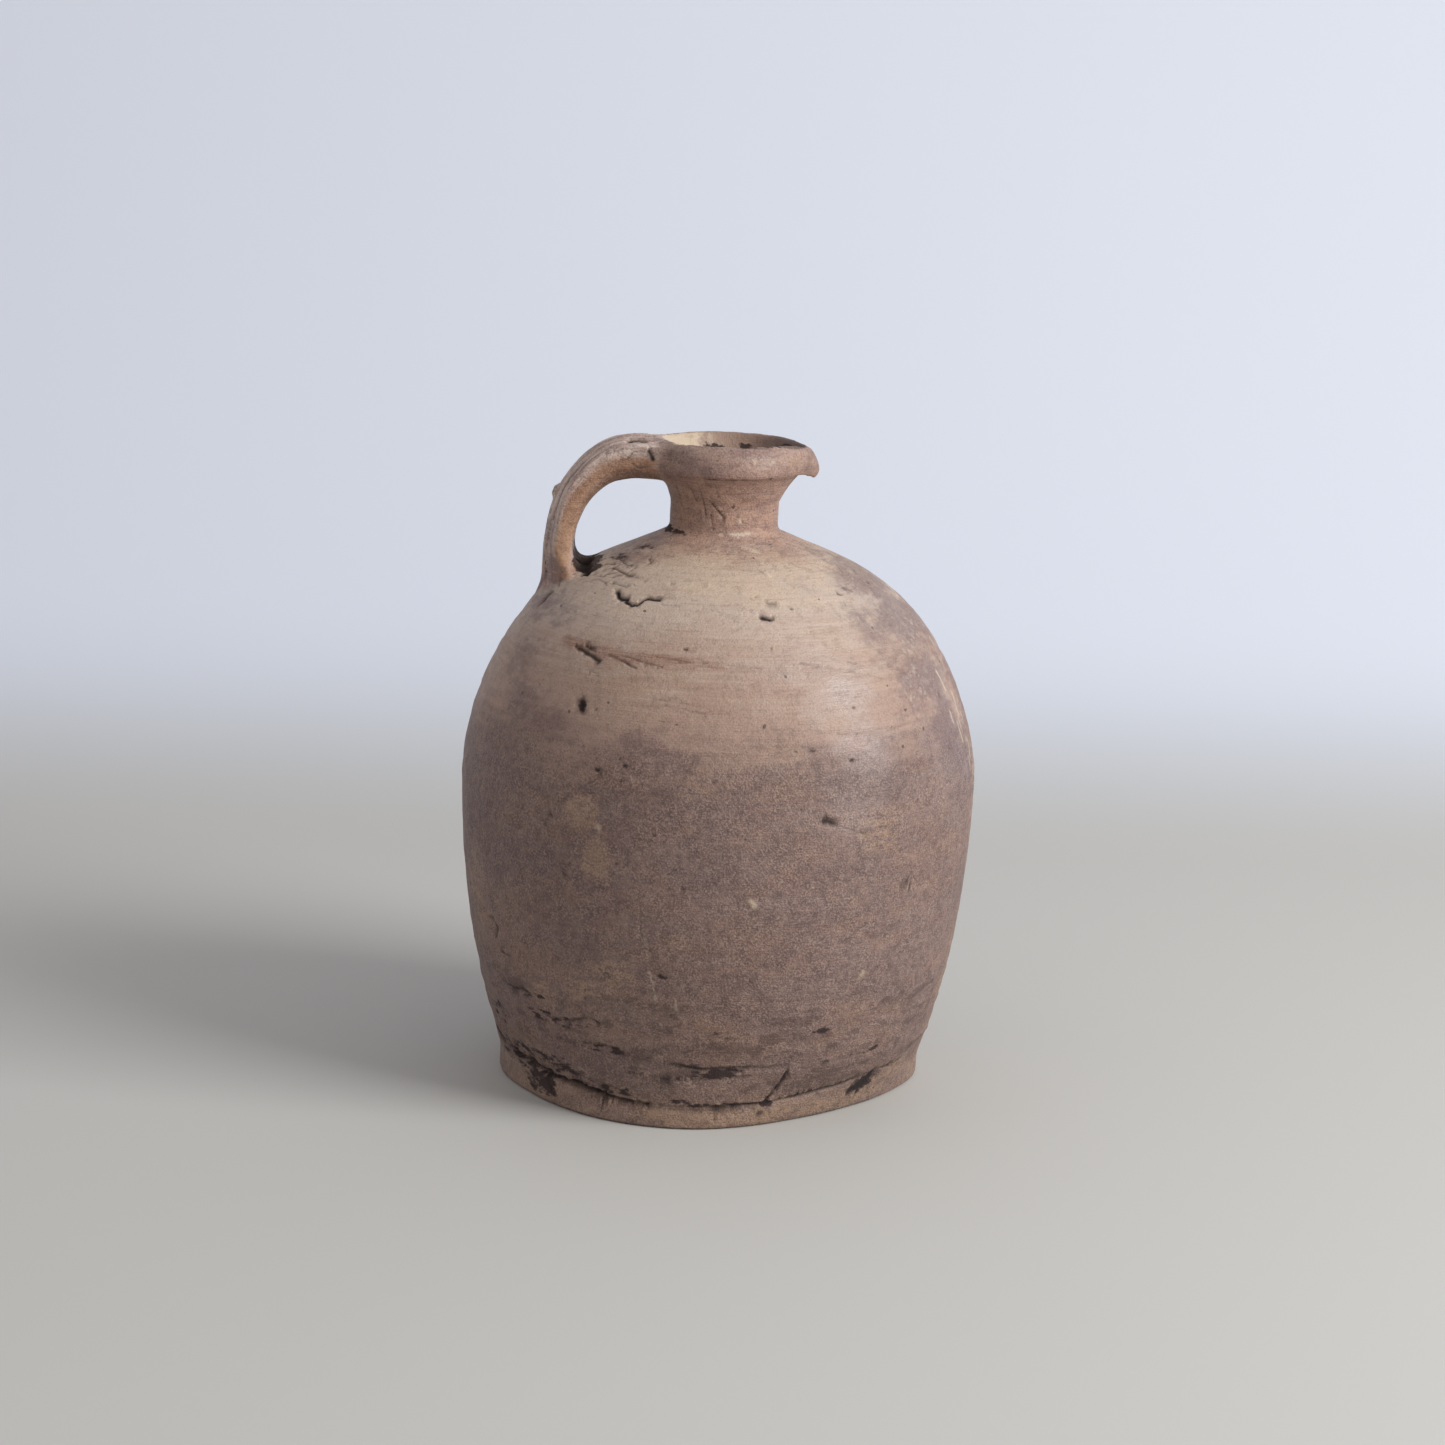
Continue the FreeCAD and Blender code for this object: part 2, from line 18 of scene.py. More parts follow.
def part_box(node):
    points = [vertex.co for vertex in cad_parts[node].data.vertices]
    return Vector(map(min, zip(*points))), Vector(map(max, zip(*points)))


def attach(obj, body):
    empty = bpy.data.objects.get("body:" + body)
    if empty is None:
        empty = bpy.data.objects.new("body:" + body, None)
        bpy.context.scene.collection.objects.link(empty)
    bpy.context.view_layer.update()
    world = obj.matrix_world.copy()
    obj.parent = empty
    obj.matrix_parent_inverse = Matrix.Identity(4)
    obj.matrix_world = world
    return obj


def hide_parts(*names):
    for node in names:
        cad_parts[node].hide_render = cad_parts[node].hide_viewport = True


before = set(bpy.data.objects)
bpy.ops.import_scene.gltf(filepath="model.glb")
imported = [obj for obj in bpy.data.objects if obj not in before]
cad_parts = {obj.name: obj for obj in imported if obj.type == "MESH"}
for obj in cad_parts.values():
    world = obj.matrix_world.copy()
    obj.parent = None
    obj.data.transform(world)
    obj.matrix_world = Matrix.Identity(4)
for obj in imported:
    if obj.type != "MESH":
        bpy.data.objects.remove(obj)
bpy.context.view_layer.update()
MM = 0.001
jug_low, jug_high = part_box("jug")
BELLY = jug_high.x / MM
print("jug from", round(jug_low.z / MM, 1), "to", round(jug_high.z / MM, 1), "mm up")

# %% [markdown]
# ## A helper that adds nodes
# Shapes and finishes are both node trees here, and both are easier to read when a node and its
# inputs stand on one line. A value that is a socket is linked, and any other value is set.

# %% Helpers for node trees


def add(tree, kind, inputs=None, **settings):
    """New node with its settings; inputs holds numbers to set or sockets to link, by name or number."""
    node = tree.nodes.new(kind)
    for name, value in settings.items():
        setattr(node, name, value)
    for name, value in (inputs or {}).items():
        socket = node.inputs[name]
        if isinstance(value, bpy.types.NodeSocket):
            tree.links.new(value, socket)
        else:
            socket.default_value = value
    return node


def maths(tree, operation, *values, clamp=False):
    """One step of arithmetic on numbers or sockets."""
    node = add(tree, "ShaderNodeMath", dict(enumerate(values)), operation=operation, use_clamp=clamp)
    return node.outputs[0]


def vectors(tree, operation, *values):
    """One step of vector arithmetic; a dot product, length or distance comes out as a number."""
    node = add(tree, "ShaderNodeVectorMath", dict(enumerate(values)), operation=operation)
    return node.outputs["Value" if operation in ("DOT_PRODUCT", "LENGTH", "DISTANCE") else "Vector"]


# %% [markdown]
# ## The wheel as a node tree
# A thrown pot follows a rule: one outline, turned about the axis. A Screw modifier could turn it,
# but the collar needs more, because at the beak its outline is another one, drawn out by a finger.
# So a Geometry Nodes tree turns a grid: each column stands at one bearing, each row takes one
# point of the outline, and near the beak the point slides over to the drawn outline. The tree also
# pushes the wall in and out a little with height, as the fingers did while the pot rose.

# %% Build the tree that turns an outline
# radius where the rings begin, the run to their full depth, and the gap that closes at the seam
RINGS_FROM, RINGS_RUN = 24.0, 30.0
SEAM = 0.001


def new_tree(name, kind, inputs, outputs):
    """Node tree with its sockets; each is a name, a socket type and, for an input, a first value."""
    tree = bpy.data.node_groups.new(name, kind)
    for label, socket_type, *first in inputs:
        socket = tree.interface.new_socket(label, in_out="INPUT", socket_type=socket_type)
        if first:
            socket.default_value = first[0]
    for label, socket_type in outputs:
        tree.interface.new_socket(label, in_out="OUTPUT", socket_type=socket_type)
    return tree, tree.nodes.new("NodeGroupInput").outputs, tree.nodes.new("NodeGroupOutput").inputs


def wheel_tree():
    """Tree that turns the outline it is given and slides towards a drawn outline near bearing 0."""
    tree, given, result = new_tree("turned_on_the_wheel", "GeometryNodeTree", [
        ("Outline", "NodeSocketGeometry"), ("Drawn outline", "NodeSocketObject"),
        ("Columns", "NodeSocketInt", 180), ("Beak spread", "NodeSocketFloat", 0.65),
        ("Beak softness", "NodeSocketFloat", 0.1), ("Ring depth", "NodeSocketFloat", 0.0),
        ("Ring pitch", "NodeSocketFloat", 5.0), ("Seed", "NodeSocketFloat", 1.0),
        ("Clay", "NodeSocketMaterial")], [("Pot", "NodeSocketGeometry")])
    counted = add(tree, "GeometryNodeAttributeDomainSize", {"Geometry": given["Outline"]})
    rows = counted.outputs["Point Count"]
    columns = maths(tree, "ADD", given["Columns"], 1)
    grid = add(tree, "GeometryNodeMeshGrid", {"Vertices X": columns, "Vertices Y": rows})
    index = add(tree, "GeometryNodeInputIndex").outputs[0]
    column = maths(tree, "FLOOR", maths(tree, "DIVIDE", maths(tree, "ADD", index, 0.5), rows))
    row = maths(tree, "SUBTRACT", index, maths(tree, "MULTIPLY", column, rows))
    turn = maths(tree, "MULTIPLY", maths(tree, "DIVIDE", column, given["Columns"]), math.tau)
    position = add(tree, "GeometryNodeInputPosition").outputs[0]
    drawn = add(tree, "GeometryNodeObjectInfo", {"Object": given["Drawn outline"]}).outputs["Geometry"]
    points = []
    for outline in (given["Outline"], drawn):
        sample = add(tree, "GeometryNodeSampleIndex", {"Geometry": outline, "Index": row},
                     data_type="FLOAT_VECTOR", clamp=True)
        tree.links.new(position, sample.inputs["Value"])
        points.append(sample.outputs["Value"])
    from_beak = maths(tree, "SUBTRACT", math.pi,
                      maths(tree, "ABSOLUTE", maths(tree, "SUBTRACT", turn, math.pi)))
    share = maths(tree, "DIVIDE", from_beak, given["Beak spread"])
    soft = given["Beak softness"]
    rounded = maths(tree, "SUBTRACT", maths(tree, "SQRT", maths(
        tree, "ADD", maths(tree, "MULTIPLY", share, share), maths(tree, "MULTIPLY", soft, soft))), soft)
    near = maths(tree, "SUBTRACT", 1.0, rounded, clamp=True)
    pull = maths(tree, "MULTIPLY", near, near)
    mixed = add(tree, "ShaderNodeMix", {0: pull, 4: points[0], 5: points[1]},
                data_type="VECTOR").outputs[1]
    place = add(tree, "ShaderNodeSeparateXYZ", {0: mixed})
    out, up = place.outputs["X"], place.outputs["Z"]
    helix = maths(tree, "ADD", maths(tree, "DIVIDE", up, given["Ring pitch"]),
                  maths(tree, "DIVIDE", turn, math.tau))
    lap = add(tree, "ShaderNodeCombineXYZ", {0: maths(tree, "COSINE", turn), 1: maths(tree, "SINE", turn),
                                            2: maths(tree, "ADD", helix, given["Seed"])})
    rings = add(tree, "ShaderNodeTexNoise", {"Vector": lap.outputs[0], "Scale": 1.0, "Detail": 2.0})
    finger = maths(tree, "MULTIPLY", maths(tree, "SUBTRACT", rings.outputs[0], 0.5), given["Ring depth"])
    inward = maths(tree, "DIVIDE", maths(tree, "SUBTRACT", out, RINGS_FROM), RINGS_RUN, clamp=True)
    radius = maths(tree, "ADD", out, maths(tree, "MULTIPLY", finger, inward))
    turned = add(tree, "ShaderNodeCombineXYZ", {
        0: maths(tree, "MULTIPLY", radius, maths(tree, "COSINE", turn)),
        1: maths(tree, "MULTIPLY", radius, maths(tree, "SINE", turn)), 2: up})
    pot = add(tree, "GeometryNodeSetPosition", {"Geometry": grid.outputs["Mesh"],
                                               "Position": turned.outputs[0]})
    closed = add(tree, "GeometryNodeMergeByDistance", {"Geometry": pot.outputs[0], "Distance": SEAM})
    whole = add(tree, "GeometryNodeRealizeInstances", {0: closed.outputs[0]})
    clay = add(tree, "GeometryNodeSetMaterial", {"Geometry": whole.outputs[0], "Material": given["Clay"]})
    tree.links.new(clay.outputs[0], result["Pot"])
    return tree


stoneware = bpy.data.materials.new("fired_stoneware")
WHEEL = wheel_tree()
print("wheel tree:", len(WHEEL.nodes), "nodes")

# %% [markdown]
# ## Outlines
# The outlines are in millimetres: distance from the axis, and height. Long stretches are arcs
# with the radii of the real wall. The collar has few points, joined by a smooth curve that passes
# through each of them. The drawn outline has as many points as the round one, so that each point
# knows where the finger pulled it. A mould for the hollow is turned the same way and taken out.

# %% Outlines of wall, collar and hollow


def arc(centre, radius, first, last, count=24):
    """Points on an arc between two angles in degrees."""
    angles = np.radians(np.linspace(first, last, count))
    return [(centre[0] + radius * math.cos(a), centre[1] + radius * math.sin(a)) for a in angles]


def smooth(points, steps=6):
    """Points on a smooth curve through all the given ones, which may have any number of columns."""
    p = np.array(points, float)
    p = np.vstack([2 * p[0] - p[1], p, 2 * p[-1] - p[-2]])
    share = np.arange(steps)[:, None] / steps
    spans = []
    for a, b, c, d in zip(p, p[1:], p[2:], p[3:]):
        spans.append(0.5 * (2 * b + (c - a) * share + (2 * a - 5 * b + 4 * c - d) * share ** 2
                            + (3 * b - a - 3 * c + d) * share ** 3))
    return np.vstack(spans + [p[-2:-1]])


WALL = 7.0
FOOT = 82.5
FOOT_TOP = 10.5
HEEL = (83.4, 13.3)
WIDEST = 116.5
SIDE_ARC = 329.0
BELLY_ARC = 108.0
SHOULDER_ARC = 82.0
SHOULDER_RISE = 57.0
SLOPE = 22.8
SLOPE_TOP = 216.3
NECK = 21.0
NECK_HOLLOW = 3.0
THROAT = 14.0
SHOULDER_TURN = math.degrees(math.asin(SHOULDER_RISE / BELLY_ARC))
side_centre = (BELLY - SIDE_ARC, WIDEST)
belly_centre = (BELLY - BELLY_ARC, WIDEST)
lift = BELLY_ARC - SHOULDER_ARC
shoulder_centre = (belly_centre[0] + lift * math.cos(math.radians(SHOULDER_TURN)),
                   WIDEST + lift * math.sin(math.radians(SHOULDER_TURN)))


def wall_outline(inset, lowest):
    """Side, belly and shoulder, set in from the outside, from a lowest angle up to the slope."""
    side = arc(side_centre, SIDE_ARC - inset, lowest, 0)
    belly = arc(belly_centre, BELLY_ARC - inset, 0, SHOULDER_TURN)
    shoulder = arc(shoulder_centre, SHOULDER_ARC - inset, SHOULDER_TURN, 90 - SLOPE)
    return side[:-1] + belly[:-1] + shoulder


neck_hollow = arc((NECK + NECK_HOLLOW, SLOPE_TOP + 0.67 * NECK_HOLLOW), NECK_HOLLOW, 270 - SLOPE, 180, 8)
outer_wall = ([(0, 0), (40, 0), (80.5, 0), (82.2, 0.4), (FOOT, 1.4), (FOOT, 6), (FOOT, FOOT_TOP), HEEL]
              + wall_outline(0, -18.0)[1:] + neck_hollow + [(NECK, 226), (NECK - 1, 228), (0, 228)])
inner_wall = ([(0, 10), (30, 10), (62, 10)] + arc((64, 24), 14, -90, -17, 8)
              + wall_outline(WALL, -16.5)[1:] + [(THROAT, 211.6), (THROAT, 220), (THROAT, 232), (0, 232)])
collar_round = [(0, 221), (17.6, 221), (20.2, 225), (21.9, 229), (23.6, 233), (25.7, 236.2),
                (27.4, 238.1), (28.5, 238.5), (29.3, 240), (29.5, 243.4), (29.0, 246.8),
                (27.8, 249.4), (25.8, 250.8), (23, 251), (0, 251)]
collar_drawn = [(0, 221), (17.6, 221), (19.7, 224.6), (21.2, 227.9), (23.4, 231.9), (25.8, 235.2),
                (28.4, 238.3), (30.8, 239.0), (33.4, 236.8), (35.2, 238.4), (35.7, 241),
                (34.4, 244.7), (31.6, 248.6), (27, 250.6), (0, 251.4)]
mouth_round = [(0, 229), (13.6, 229), (14.6, 232), (16.3, 236), (18.3, 240), (20.3, 243.8),
               (22.3, 247.2), (23.6, 249.6), (24.9, 251.4), (27, 256), (0, 256)]
mouth_drawn = [(0, 229), (13.6, 229), (14.7, 232), (16.8, 236), (19.4, 240), (22.6, 243.4),
               (26.0, 245.7), (29.0, 247.6), (31.6, 250), (35, 256), (0, 256)]
print("outline points:", len(outer_wall), "outside,", len(inner_wall), "inside")

# %% [markdown]
# ## Turning the pieces
# Each outline becomes a small object of points, the tree turns it, and the result is kept as a
# plain mesh in millimetres. These meshes are only moulds: the next steps fuse them.

# %% Turn wall, collar and hollow


def outline_object(name, points):
    """Object of points joined to one line, in the plane through the axis."""
    mesh = bpy.data.meshes.new(name)
    mesh.from_pydata([(x, 0, z) for x, z in points], [(i, i + 1) for i in range(len(points) - 1)], [])
    piece = bpy.data.objects.new(name, mesh)
    bpy.context.scene.collection.objects.link(piece)
    return piece


def set_inputs(modifier, **values):
    """Sets a tree's inputs by identifier; an underscore in a name stands for a space."""
    for socket in modifier.node_group.interface.items_tree:
        key = socket.name.replace(" ", "_")
        if socket.in_out == "INPUT" and key in values:
            modifier[socket.identifier] = values[key]


def triangles_of(piece):
    """Corners and triangles of an object as it shows, with its modifiers."""
    mesh = bpy.data.meshes.new_from_object(piece.evaluated_get(bpy.context.evaluated_depsgraph_get()))
    mesh.calc_loop_triangles()
    corners = np.zeros(len(mesh.vertices) * 3)
    mesh.vertices.foreach_get("co", corners)
    triangles = np.zeros(len(mesh.loop_triangles) * 3, np.int32)
    mesh.loop_triangles.foreach_get("vertices", triangles)
    bpy.data.meshes.remove(mesh)
    return corners.reshape(-1, 3), triangles.reshape(-1, 3)


def turned(name, outline, drawn=None, ring_depth=0.0, columns=240):
    """Corners and triangles of an outline turned on the wheel."""
    piece = outline_object(name, outline)
    partner = outline_object(name + "_drawn", outline if drawn is None else drawn)
    wheel = piece.modifiers.new("wheel", "NODES")
    wheel.node_group = WHEEL
    set_inputs(wheel, Drawn_outline=partner, Columns=columns, Beak_spread=math.radians(38),
               Beak_softness=0.12, Ring_depth=ring_depth, Ring_pitch=5.0, Seed=7.0, Clay=stoneware)
    shape = triangles_of(piece)
    for used in (piece, partner):
        bpy.data.meshes.remove(used.data)
    return shape


wall_shape = turned("thrown_wall", outer_wall, ring_depth=0.9)
collar_shape = turned("collar", smooth(collar_round), smooth(collar_drawn))
hollow_shape = turned("hollow", inner_wall, ring_depth=1.2)
mouth_shape = turned("mouth", smooth(mouth_round), smooth(mouth_drawn))
shapes = (wall_shape, collar_shape, hollow_shape, mouth_shape)
print("turned wall, collar, hollow and mouth, in triangles:", *(len(shape[1]) for shape in shapes))

# %% [markdown]
# ## The pulled strap
# A strap is pulled from a lump of clay with a wet hand: thick at the top, thinner down the leg,
# flat inside, crowned outside, with a crease along each edge and grooves from the fingers. It is
# swept here by hand: stations along the path carry a width, a thickness, the place of the crease
# and a bevel, by which the lower part of each edge turns in. A curve through the stations gives as
# many sections as the surface needs. At the root the crease runs down to the inner side, because
# the outer face was pressed out wide.

# %% Sweep the strap
#         out     up    width  thick  crease bevel
STRAP = [(-19.0, 243.0, 35.0, 16.0, 0.26, 0.24),
         (-27.5, 243.3, 31.0, 17.0, 0.28, 0.30),
         (-35.6, 243.6, 28.0, 17.0, 0.29, 0.30),
         (-42.9, 242.3, 26.5, 16.6, 0.28, 0.26),
         (-48.9, 239.2, 26.0, 15.2, 0.26, 0.20),
         (-54.1, 234.3, 26.5, 14.0, 0.24, 0.16),
         (-58.6, 228.3, 27.0, 13.2, 0.20, 0.15),
         (-61.4, 221.4, 27.5, 12.6, 0.15, 0.15),
         (-63.1, 215.0, 28.0, 12.0, 0.10, 0.14),
         (-64.0, 208.5, 29.5, 12.0, 0.05, 0.12),
         (-64.1, 202.5, 33.5, 12.2, -0.15, 0.10),
         (-63.8, 195.5, 39.0, 13.6, -0.36, 0.06),
         (-64.4, 187.0, 43.0, 15.0, -0.45, 0.05),
         (-66.5, 179.0, 45.0, 16.0, -0.45, 0.05)]
FINGERS = ((-8.8, 1.0, 1.0), (-4.4, 1.5, 1.2), (3.4, 1.3, 1.5), (8.9, 0.8, 1.0))
OUTER_POINTS, FLANK_POINTS, INNER_POINTS = 34, 8, 20
SECTION_POINTS = OUTER_POINTS + 2 * FLANK_POINTS + INNER_POINTS
INNER_FACE = -0.46
CROWN_POWER = 1.9
BEVEL_POWER = 1.5
INNER_SHARE = 0.98
STRAP_STEPS = 8


def strap_section(width, thick, crease, bevel):
    """Places across and through the strap, once round its section."""
    half = width / 2
    over = np.linspace(1, -1, OUTER_POINTS)
    grooves = sum(depth * np.exp(-((over * half - middle) / wide) ** 2)
                  for middle, depth, wide in FINGERS)
    crown = crease + (0.5 - crease) * (1 - np.abs(over) ** CROWN_POWER)
    down = np.linspace(0, 1, FLANK_POINTS + 2)[1:-1]
    flank_across = half * (1 - bevel * np.clip(2 * down - 1, 0, 1) ** BEVEL_POWER)
    flank_through = thick * (crease + (INNER_FACE - crease) * down)
    under = np.linspace(-1, 1, INNER_POINTS) * (INNER_SHARE - bevel)
    across = np.concatenate([over * half, -flank_across, under * half, flank_across[::-1]])
    through = np.concatenate([crown * thick - grooves, flank_through,
                              np.full(INNER_POINTS, INNER_FACE * thick), flank_through[::-1]])
    return across, through


def strap():
    """Corners and triangles of the strap, closed at both ends."""
    stations = smooth(STRAP, STRAP_STEPS)
    path = stations[:, :2]
    along = np.gradient(path, axis=0)
    along /= np.linalg.norm(along, axis=1)[:, None]
    outward = np.stack([along[:, 1], -along[:, 0]], 1)
    corners = []
    for (out, up, *shape), normal in zip(stations, outward):
        across, through = strap_section(*shape)
        corners.append(np.stack([out + normal[0] * through, -across, up + normal[1] * through], 1))
    rings = len(corners)
    ends = [corners[0].mean(0), corners[-1].mean(0)]
    corners = np.vstack(corners + ends)
    a = np.arange(SECTION_POINTS)
    b = (a + 1) % SECTION_POINTS
    faces = []
    for ring in range(rings - 1):
        low, high = ring * SECTION_POINTS, (ring + 1) * SECTION_POINTS
        faces += [np.stack([low + a, low + b, high + b], 1), np.stack([low + a, high + b, high + a], 1)]
    last = (rings - 1) * SECTION_POINTS
    faces += [np.stack([b, a, np.full_like(a, rings * SECTION_POINTS)], 1),
              np.stack([last + a, last + b, np.full_like(a, rings * SECTION_POINTS + 1)], 1)]
    return corners, np.vstack(faces)


strap_shape = strap()
print("strap:", len(strap_shape[1]), "triangles")

# %% [markdown]
# ## Fusing wet clay
# A boolean would leave a hard crease where the strap meets the wall, and clay pressed on by hand
# has none. So each mould is turned into a distance field on a grid of one millimetre. The smaller
# of two distances joins two pieces, a softened smaller one fills their corner as a thumb does, and
# the larger of a distance and a negative one takes the hollow out. The softness changes from place
# to place: little beside the root, more in front of it, and most in the corner behind it.

# %% Distance fields, joined and cut
LOW = np.array([-112, -112, -8])
SHAPE = (224, 224, 272)
REACH = 9.0


def field(shape):
    """Distance to a closed surface on the whole grid, in mm, less than nothing inside."""
    corners, triangles = shape
    grid = openvdb.FloatGrid.createLevelSetFromPolygons(
        corners.astype(np.float32), triangles=triangles.astype(np.uint32),
        transform=openvdb.createLinearTransform(1.0), halfWidth=REACH)
    values = np.zeros(SHAPE, np.float32)
    grid.copyToArray(values, ijk=tuple(int(v) for v in LOW))
    return values


def soft_min(a, b, blend):
    """Smaller of two distances, with their corner filled over the blend."""
    near = np.maximum(blend - np.abs(a - b), 0) / blend
    return np.minimum(a, b) - near * near * blend / 4


def soft_max(a, b, blend):
    """Larger of two distances, with their edge rounded over the blend."""
    return -soft_min(-a, -b, blend)


heights = (LOW[2] + np.arange(SHAPE[2], dtype=np.float32))[None, None, :]
outwards = -(LOW[0] + np.arange(SHAPE[0], dtype=np.float32))[:, None, None]
ROOT_BLEND = (1.8, 5.0)
ROOT_EDGE = (58.0, 72.0)
CROWN_BLEND = 3.0
CROWN_LEVEL = 225
# the corner behind the root: its blend, and where it ends outwards and sideways
POCKET_BLEND = 8.5
POCKET_OUT = (58.0, 62.0)
POCKET_SIDE = (12.0, 15.0)
COLLAR_BLEND, MOUTH_BLEND, RIM_BLEND = 1.0, 2.0, 1.6
root_share = np.clip((outwards - ROOT_EDGE[0]) / (ROOT_EDGE[1] - ROOT_EDGE[0]), 0, 1)
sideways = np.abs(LOW[1] + np.arange(SHAPE[1], dtype=np.float32))[None, :, None]
pocket = np.clip((POCKET_OUT[1] - outwards) / (POCKET_OUT[1] - POCKET_OUT[0]), 0, 1)
pocket = pocket * np.clip((POCKET_SIDE[1] - sideways) / (POCKET_SIDE[1] - POCKET_SIDE[0]), 0, 1)
root_blend = ROOT_BLEND[0] + (ROOT_BLEND[1] - ROOT_BLEND[0]) * root_share + POCKET_BLEND * pocket
strap_blend = np.where(heights < CROWN_LEVEL, root_blend, CROWN_BLEND)
clay = soft_min(field(wall_shape), field(collar_shape), COLLAR_BLEND)
clay = soft_min(clay, field(strap_shape), strap_blend)
hollow = soft_min(field(hollow_shape), field(mouth_shape), MOUTH_BLEND)
clay = soft_max(clay, -hollow, RIM_BLEND)
print("fields:", SHAPE, "clay volume in ml:", round(float((clay < 0).sum()) / 1000))

# %% [markdown]
# ## From field back to surface
# The surface is where the distance is nothing. It comes as even quads of one millimetre and it is
# closed everywhere. The hollow below the mouth is hidden and needs few faces, so it is thinned
# first and most. The mouth and the outside keep theirs for the marks that follow.

# %% Surface of the clay
grid = openvdb.FloatGrid(REACH)
grid.copyFromArray(clay, ijk=tuple(int(v) for v in LOW))
corners, _, quads = grid.convertToPolygons(0.0, 0.0)
first = corners[quads[:, 0]]
faced = np.cross(corners[quads[:, 1]] - first, corners[quads[:, 2]] - first)
if np.einsum("ij,ij->i", first, faced).sum() < 0:
    quads = quads[:, ::-1]
profile = np.array(outer_wall[1:-2] + collar_round[3:-1])
profile = profile[np.argsort(profile[:, 1], kind="stable")]


def pot_radius(height):
    """Outside of the turned pot at a height, from the axis."""
    return np.interp(height, profile[:, 1], profile[:, 0])


# heights and radii that part the inside from the outside; the mouth widens with height, and more
# towards the beak
INSIDE_BELOW = 229.0
FLOOR_MIDDLE = 5.0
MOUTH_LEVEL, MOUTH_RADIUS, MOUTH_FLARE = 236, 17.6, 0.5
BEAK_FROM, BEAK_RUN, BEAK_LEVEL, BEAK_RISE, BEAK_WIDER = 16, 16, 238, 10, 7.0


def inside_share(points):
    """1 for points in the hollow or the mouth and 0 for points on the outside."""
    radius = np.hypot(points[:, 0], points[:, 1])
    height = points[:, 2]
    under_mouth = (height > FLOOR_MIDDLE) & (height < INSIDE_BELOW)
    in_wall = (radius < pot_radius(height) - WALL / 2) & under_mouth
    beak = np.clip((points[:, 0] - BEAK_FROM) / BEAK_RUN, 0, 1)
    beak = beak * np.clip((height - BEAK_LEVEL) / BEAK_RISE, 0, 1)
    mouth = MOUTH_RADIUS + MOUTH_FLARE * (height - MOUTH_LEVEL) + BEAK_WIDER * beak
    in_mouth = (radius < mouth) & (height >= INSIDE_BELOW)
    return (in_wall | in_mouth).astype(float)


mesh = bpy.data.meshes.new("oil_jug")
mesh.vertices.add(len(corners))
mesh.vertices.foreach_set("co", (corners * MM).astype(np.float32).ravel())
mesh.loops.add(quads.size)
mesh.loops.foreach_set("vertex_index", quads.astype(np.int32).ravel())
mesh.polygons.add(len(quads))
mesh.polygons.foreach_set("loop_start", np.arange(len(quads), dtype=np.int32) * 4)
mesh.update(calc_edges=True)
mesh.validate()
mesh.materials.append(stoneware)
jug = bpy.data.objects.new("oil_jug", mesh)
bpy.context.scene.collection.objects.link(jug)


def thinned(ratio, group=""):
    """Fewer faces, only where the vertex group stands if one is named."""
    thin = jug.modifiers.new("thin", "DECIMATE")
    thin.ratio = ratio
    thin.vertex_group = group
    thin.vertex_group_factor = 10
    result = bpy.data.meshes.new_from_object(jug.evaluated_get(bpy.context.evaluated_depsgraph_get()))
    jug.modifiers.remove(thin)
    jug.data = result
    result.calc_loop_triangles()
    return len(result.loop_triangles)


INSIDE_TRIANGLES = 14000
OUTSIDE_TRIANGLES = 150000
hidden = (inside_share(corners) > 0.5) & (corners[:, 2] < INSIDE_BELOW)
group = jug.vertex_groups.new(name="hidden")
group.add([int(v) for v in np.flatnonzero(hidden)], 1.0, "REPLACE")
share_hidden = hidden.mean()
start = 2 * len(quads)
after_inside = start * (1 - share_hidden) + INSIDE_TRIANGLES
count = thinned(after_inside / start, "hidden")
print("after the inside:", count, "of", start)
count = thinned((INSIDE_TRIANGLES + OUTSIDE_TRIANGLES) / count)
jug.vertex_groups.clear()
print("after the outside:", count, "triangles")

# %% [markdown]
# ## What the kiln did to the form
# The foot sagged out of round in the fire: this is measured in the photograph all along the front,
# and guessed as slight at the back. The neck stands a little towards the handle. A lattice of
# random numbers, read between its points, gives a soft lumpiness at any size with the same seed.

# %% Sagged foot, leaning neck and a noise for lumps
FOOT_BEARINGS = (-176, -165, -152, -134, -119, -105, -94, -81, -64,
                 -44, -22, -11, -3, 10, 60, 100, 140)
SAG_UNDER = (0.7, 0.4, -1.8, -0.4, 1.4, 1.7, 0.8, -3.2, -8.8,
             -10.3, -6.8, -3.4, -0.6, 0.6, 0.5, -1.5, 0.5)
SAG_BAND = (0.7, 0.2, -1.4, -0.6, 1.0, 1.8, 2.4, 0.2, -3.8,
            -4.6, -3.2, -1.2, 0.4, 0.5, 0.4, -0.8, 0.4)
SAG_BLUR = 7
SAG_TOP = 26.0
NECK_LEAN = -0.6
# heights where the lean comes and goes, and the radii where it ends
LEAN_RISE, LEAN_FALL, LEAN_EDGE = (207, 215), (221, 233), (40, 52)


def eased(value, low, high):
    """0 under low, 1 over high and a smooth run between them."""
    share = np.clip((value - low) / (high - low), 0, 1)
    return share * share * (3 - 2 * share)


def round_table(values):
    """Values at each whole degree, blurred so that the sag has no corners."""
    degrees = np.arange(-180, 180)
    table = np.interp(degrees, FOOT_BEARINGS, values, period=360)
    window = np.arange(-SAG_BLUR, SAG_BLUR + 1)
    return np.mean([np.roll(table, shift) for shift in window], axis=0)


sag_under, sag_band = round_table(SAG_UNDER), round_table(SAG_BAND)


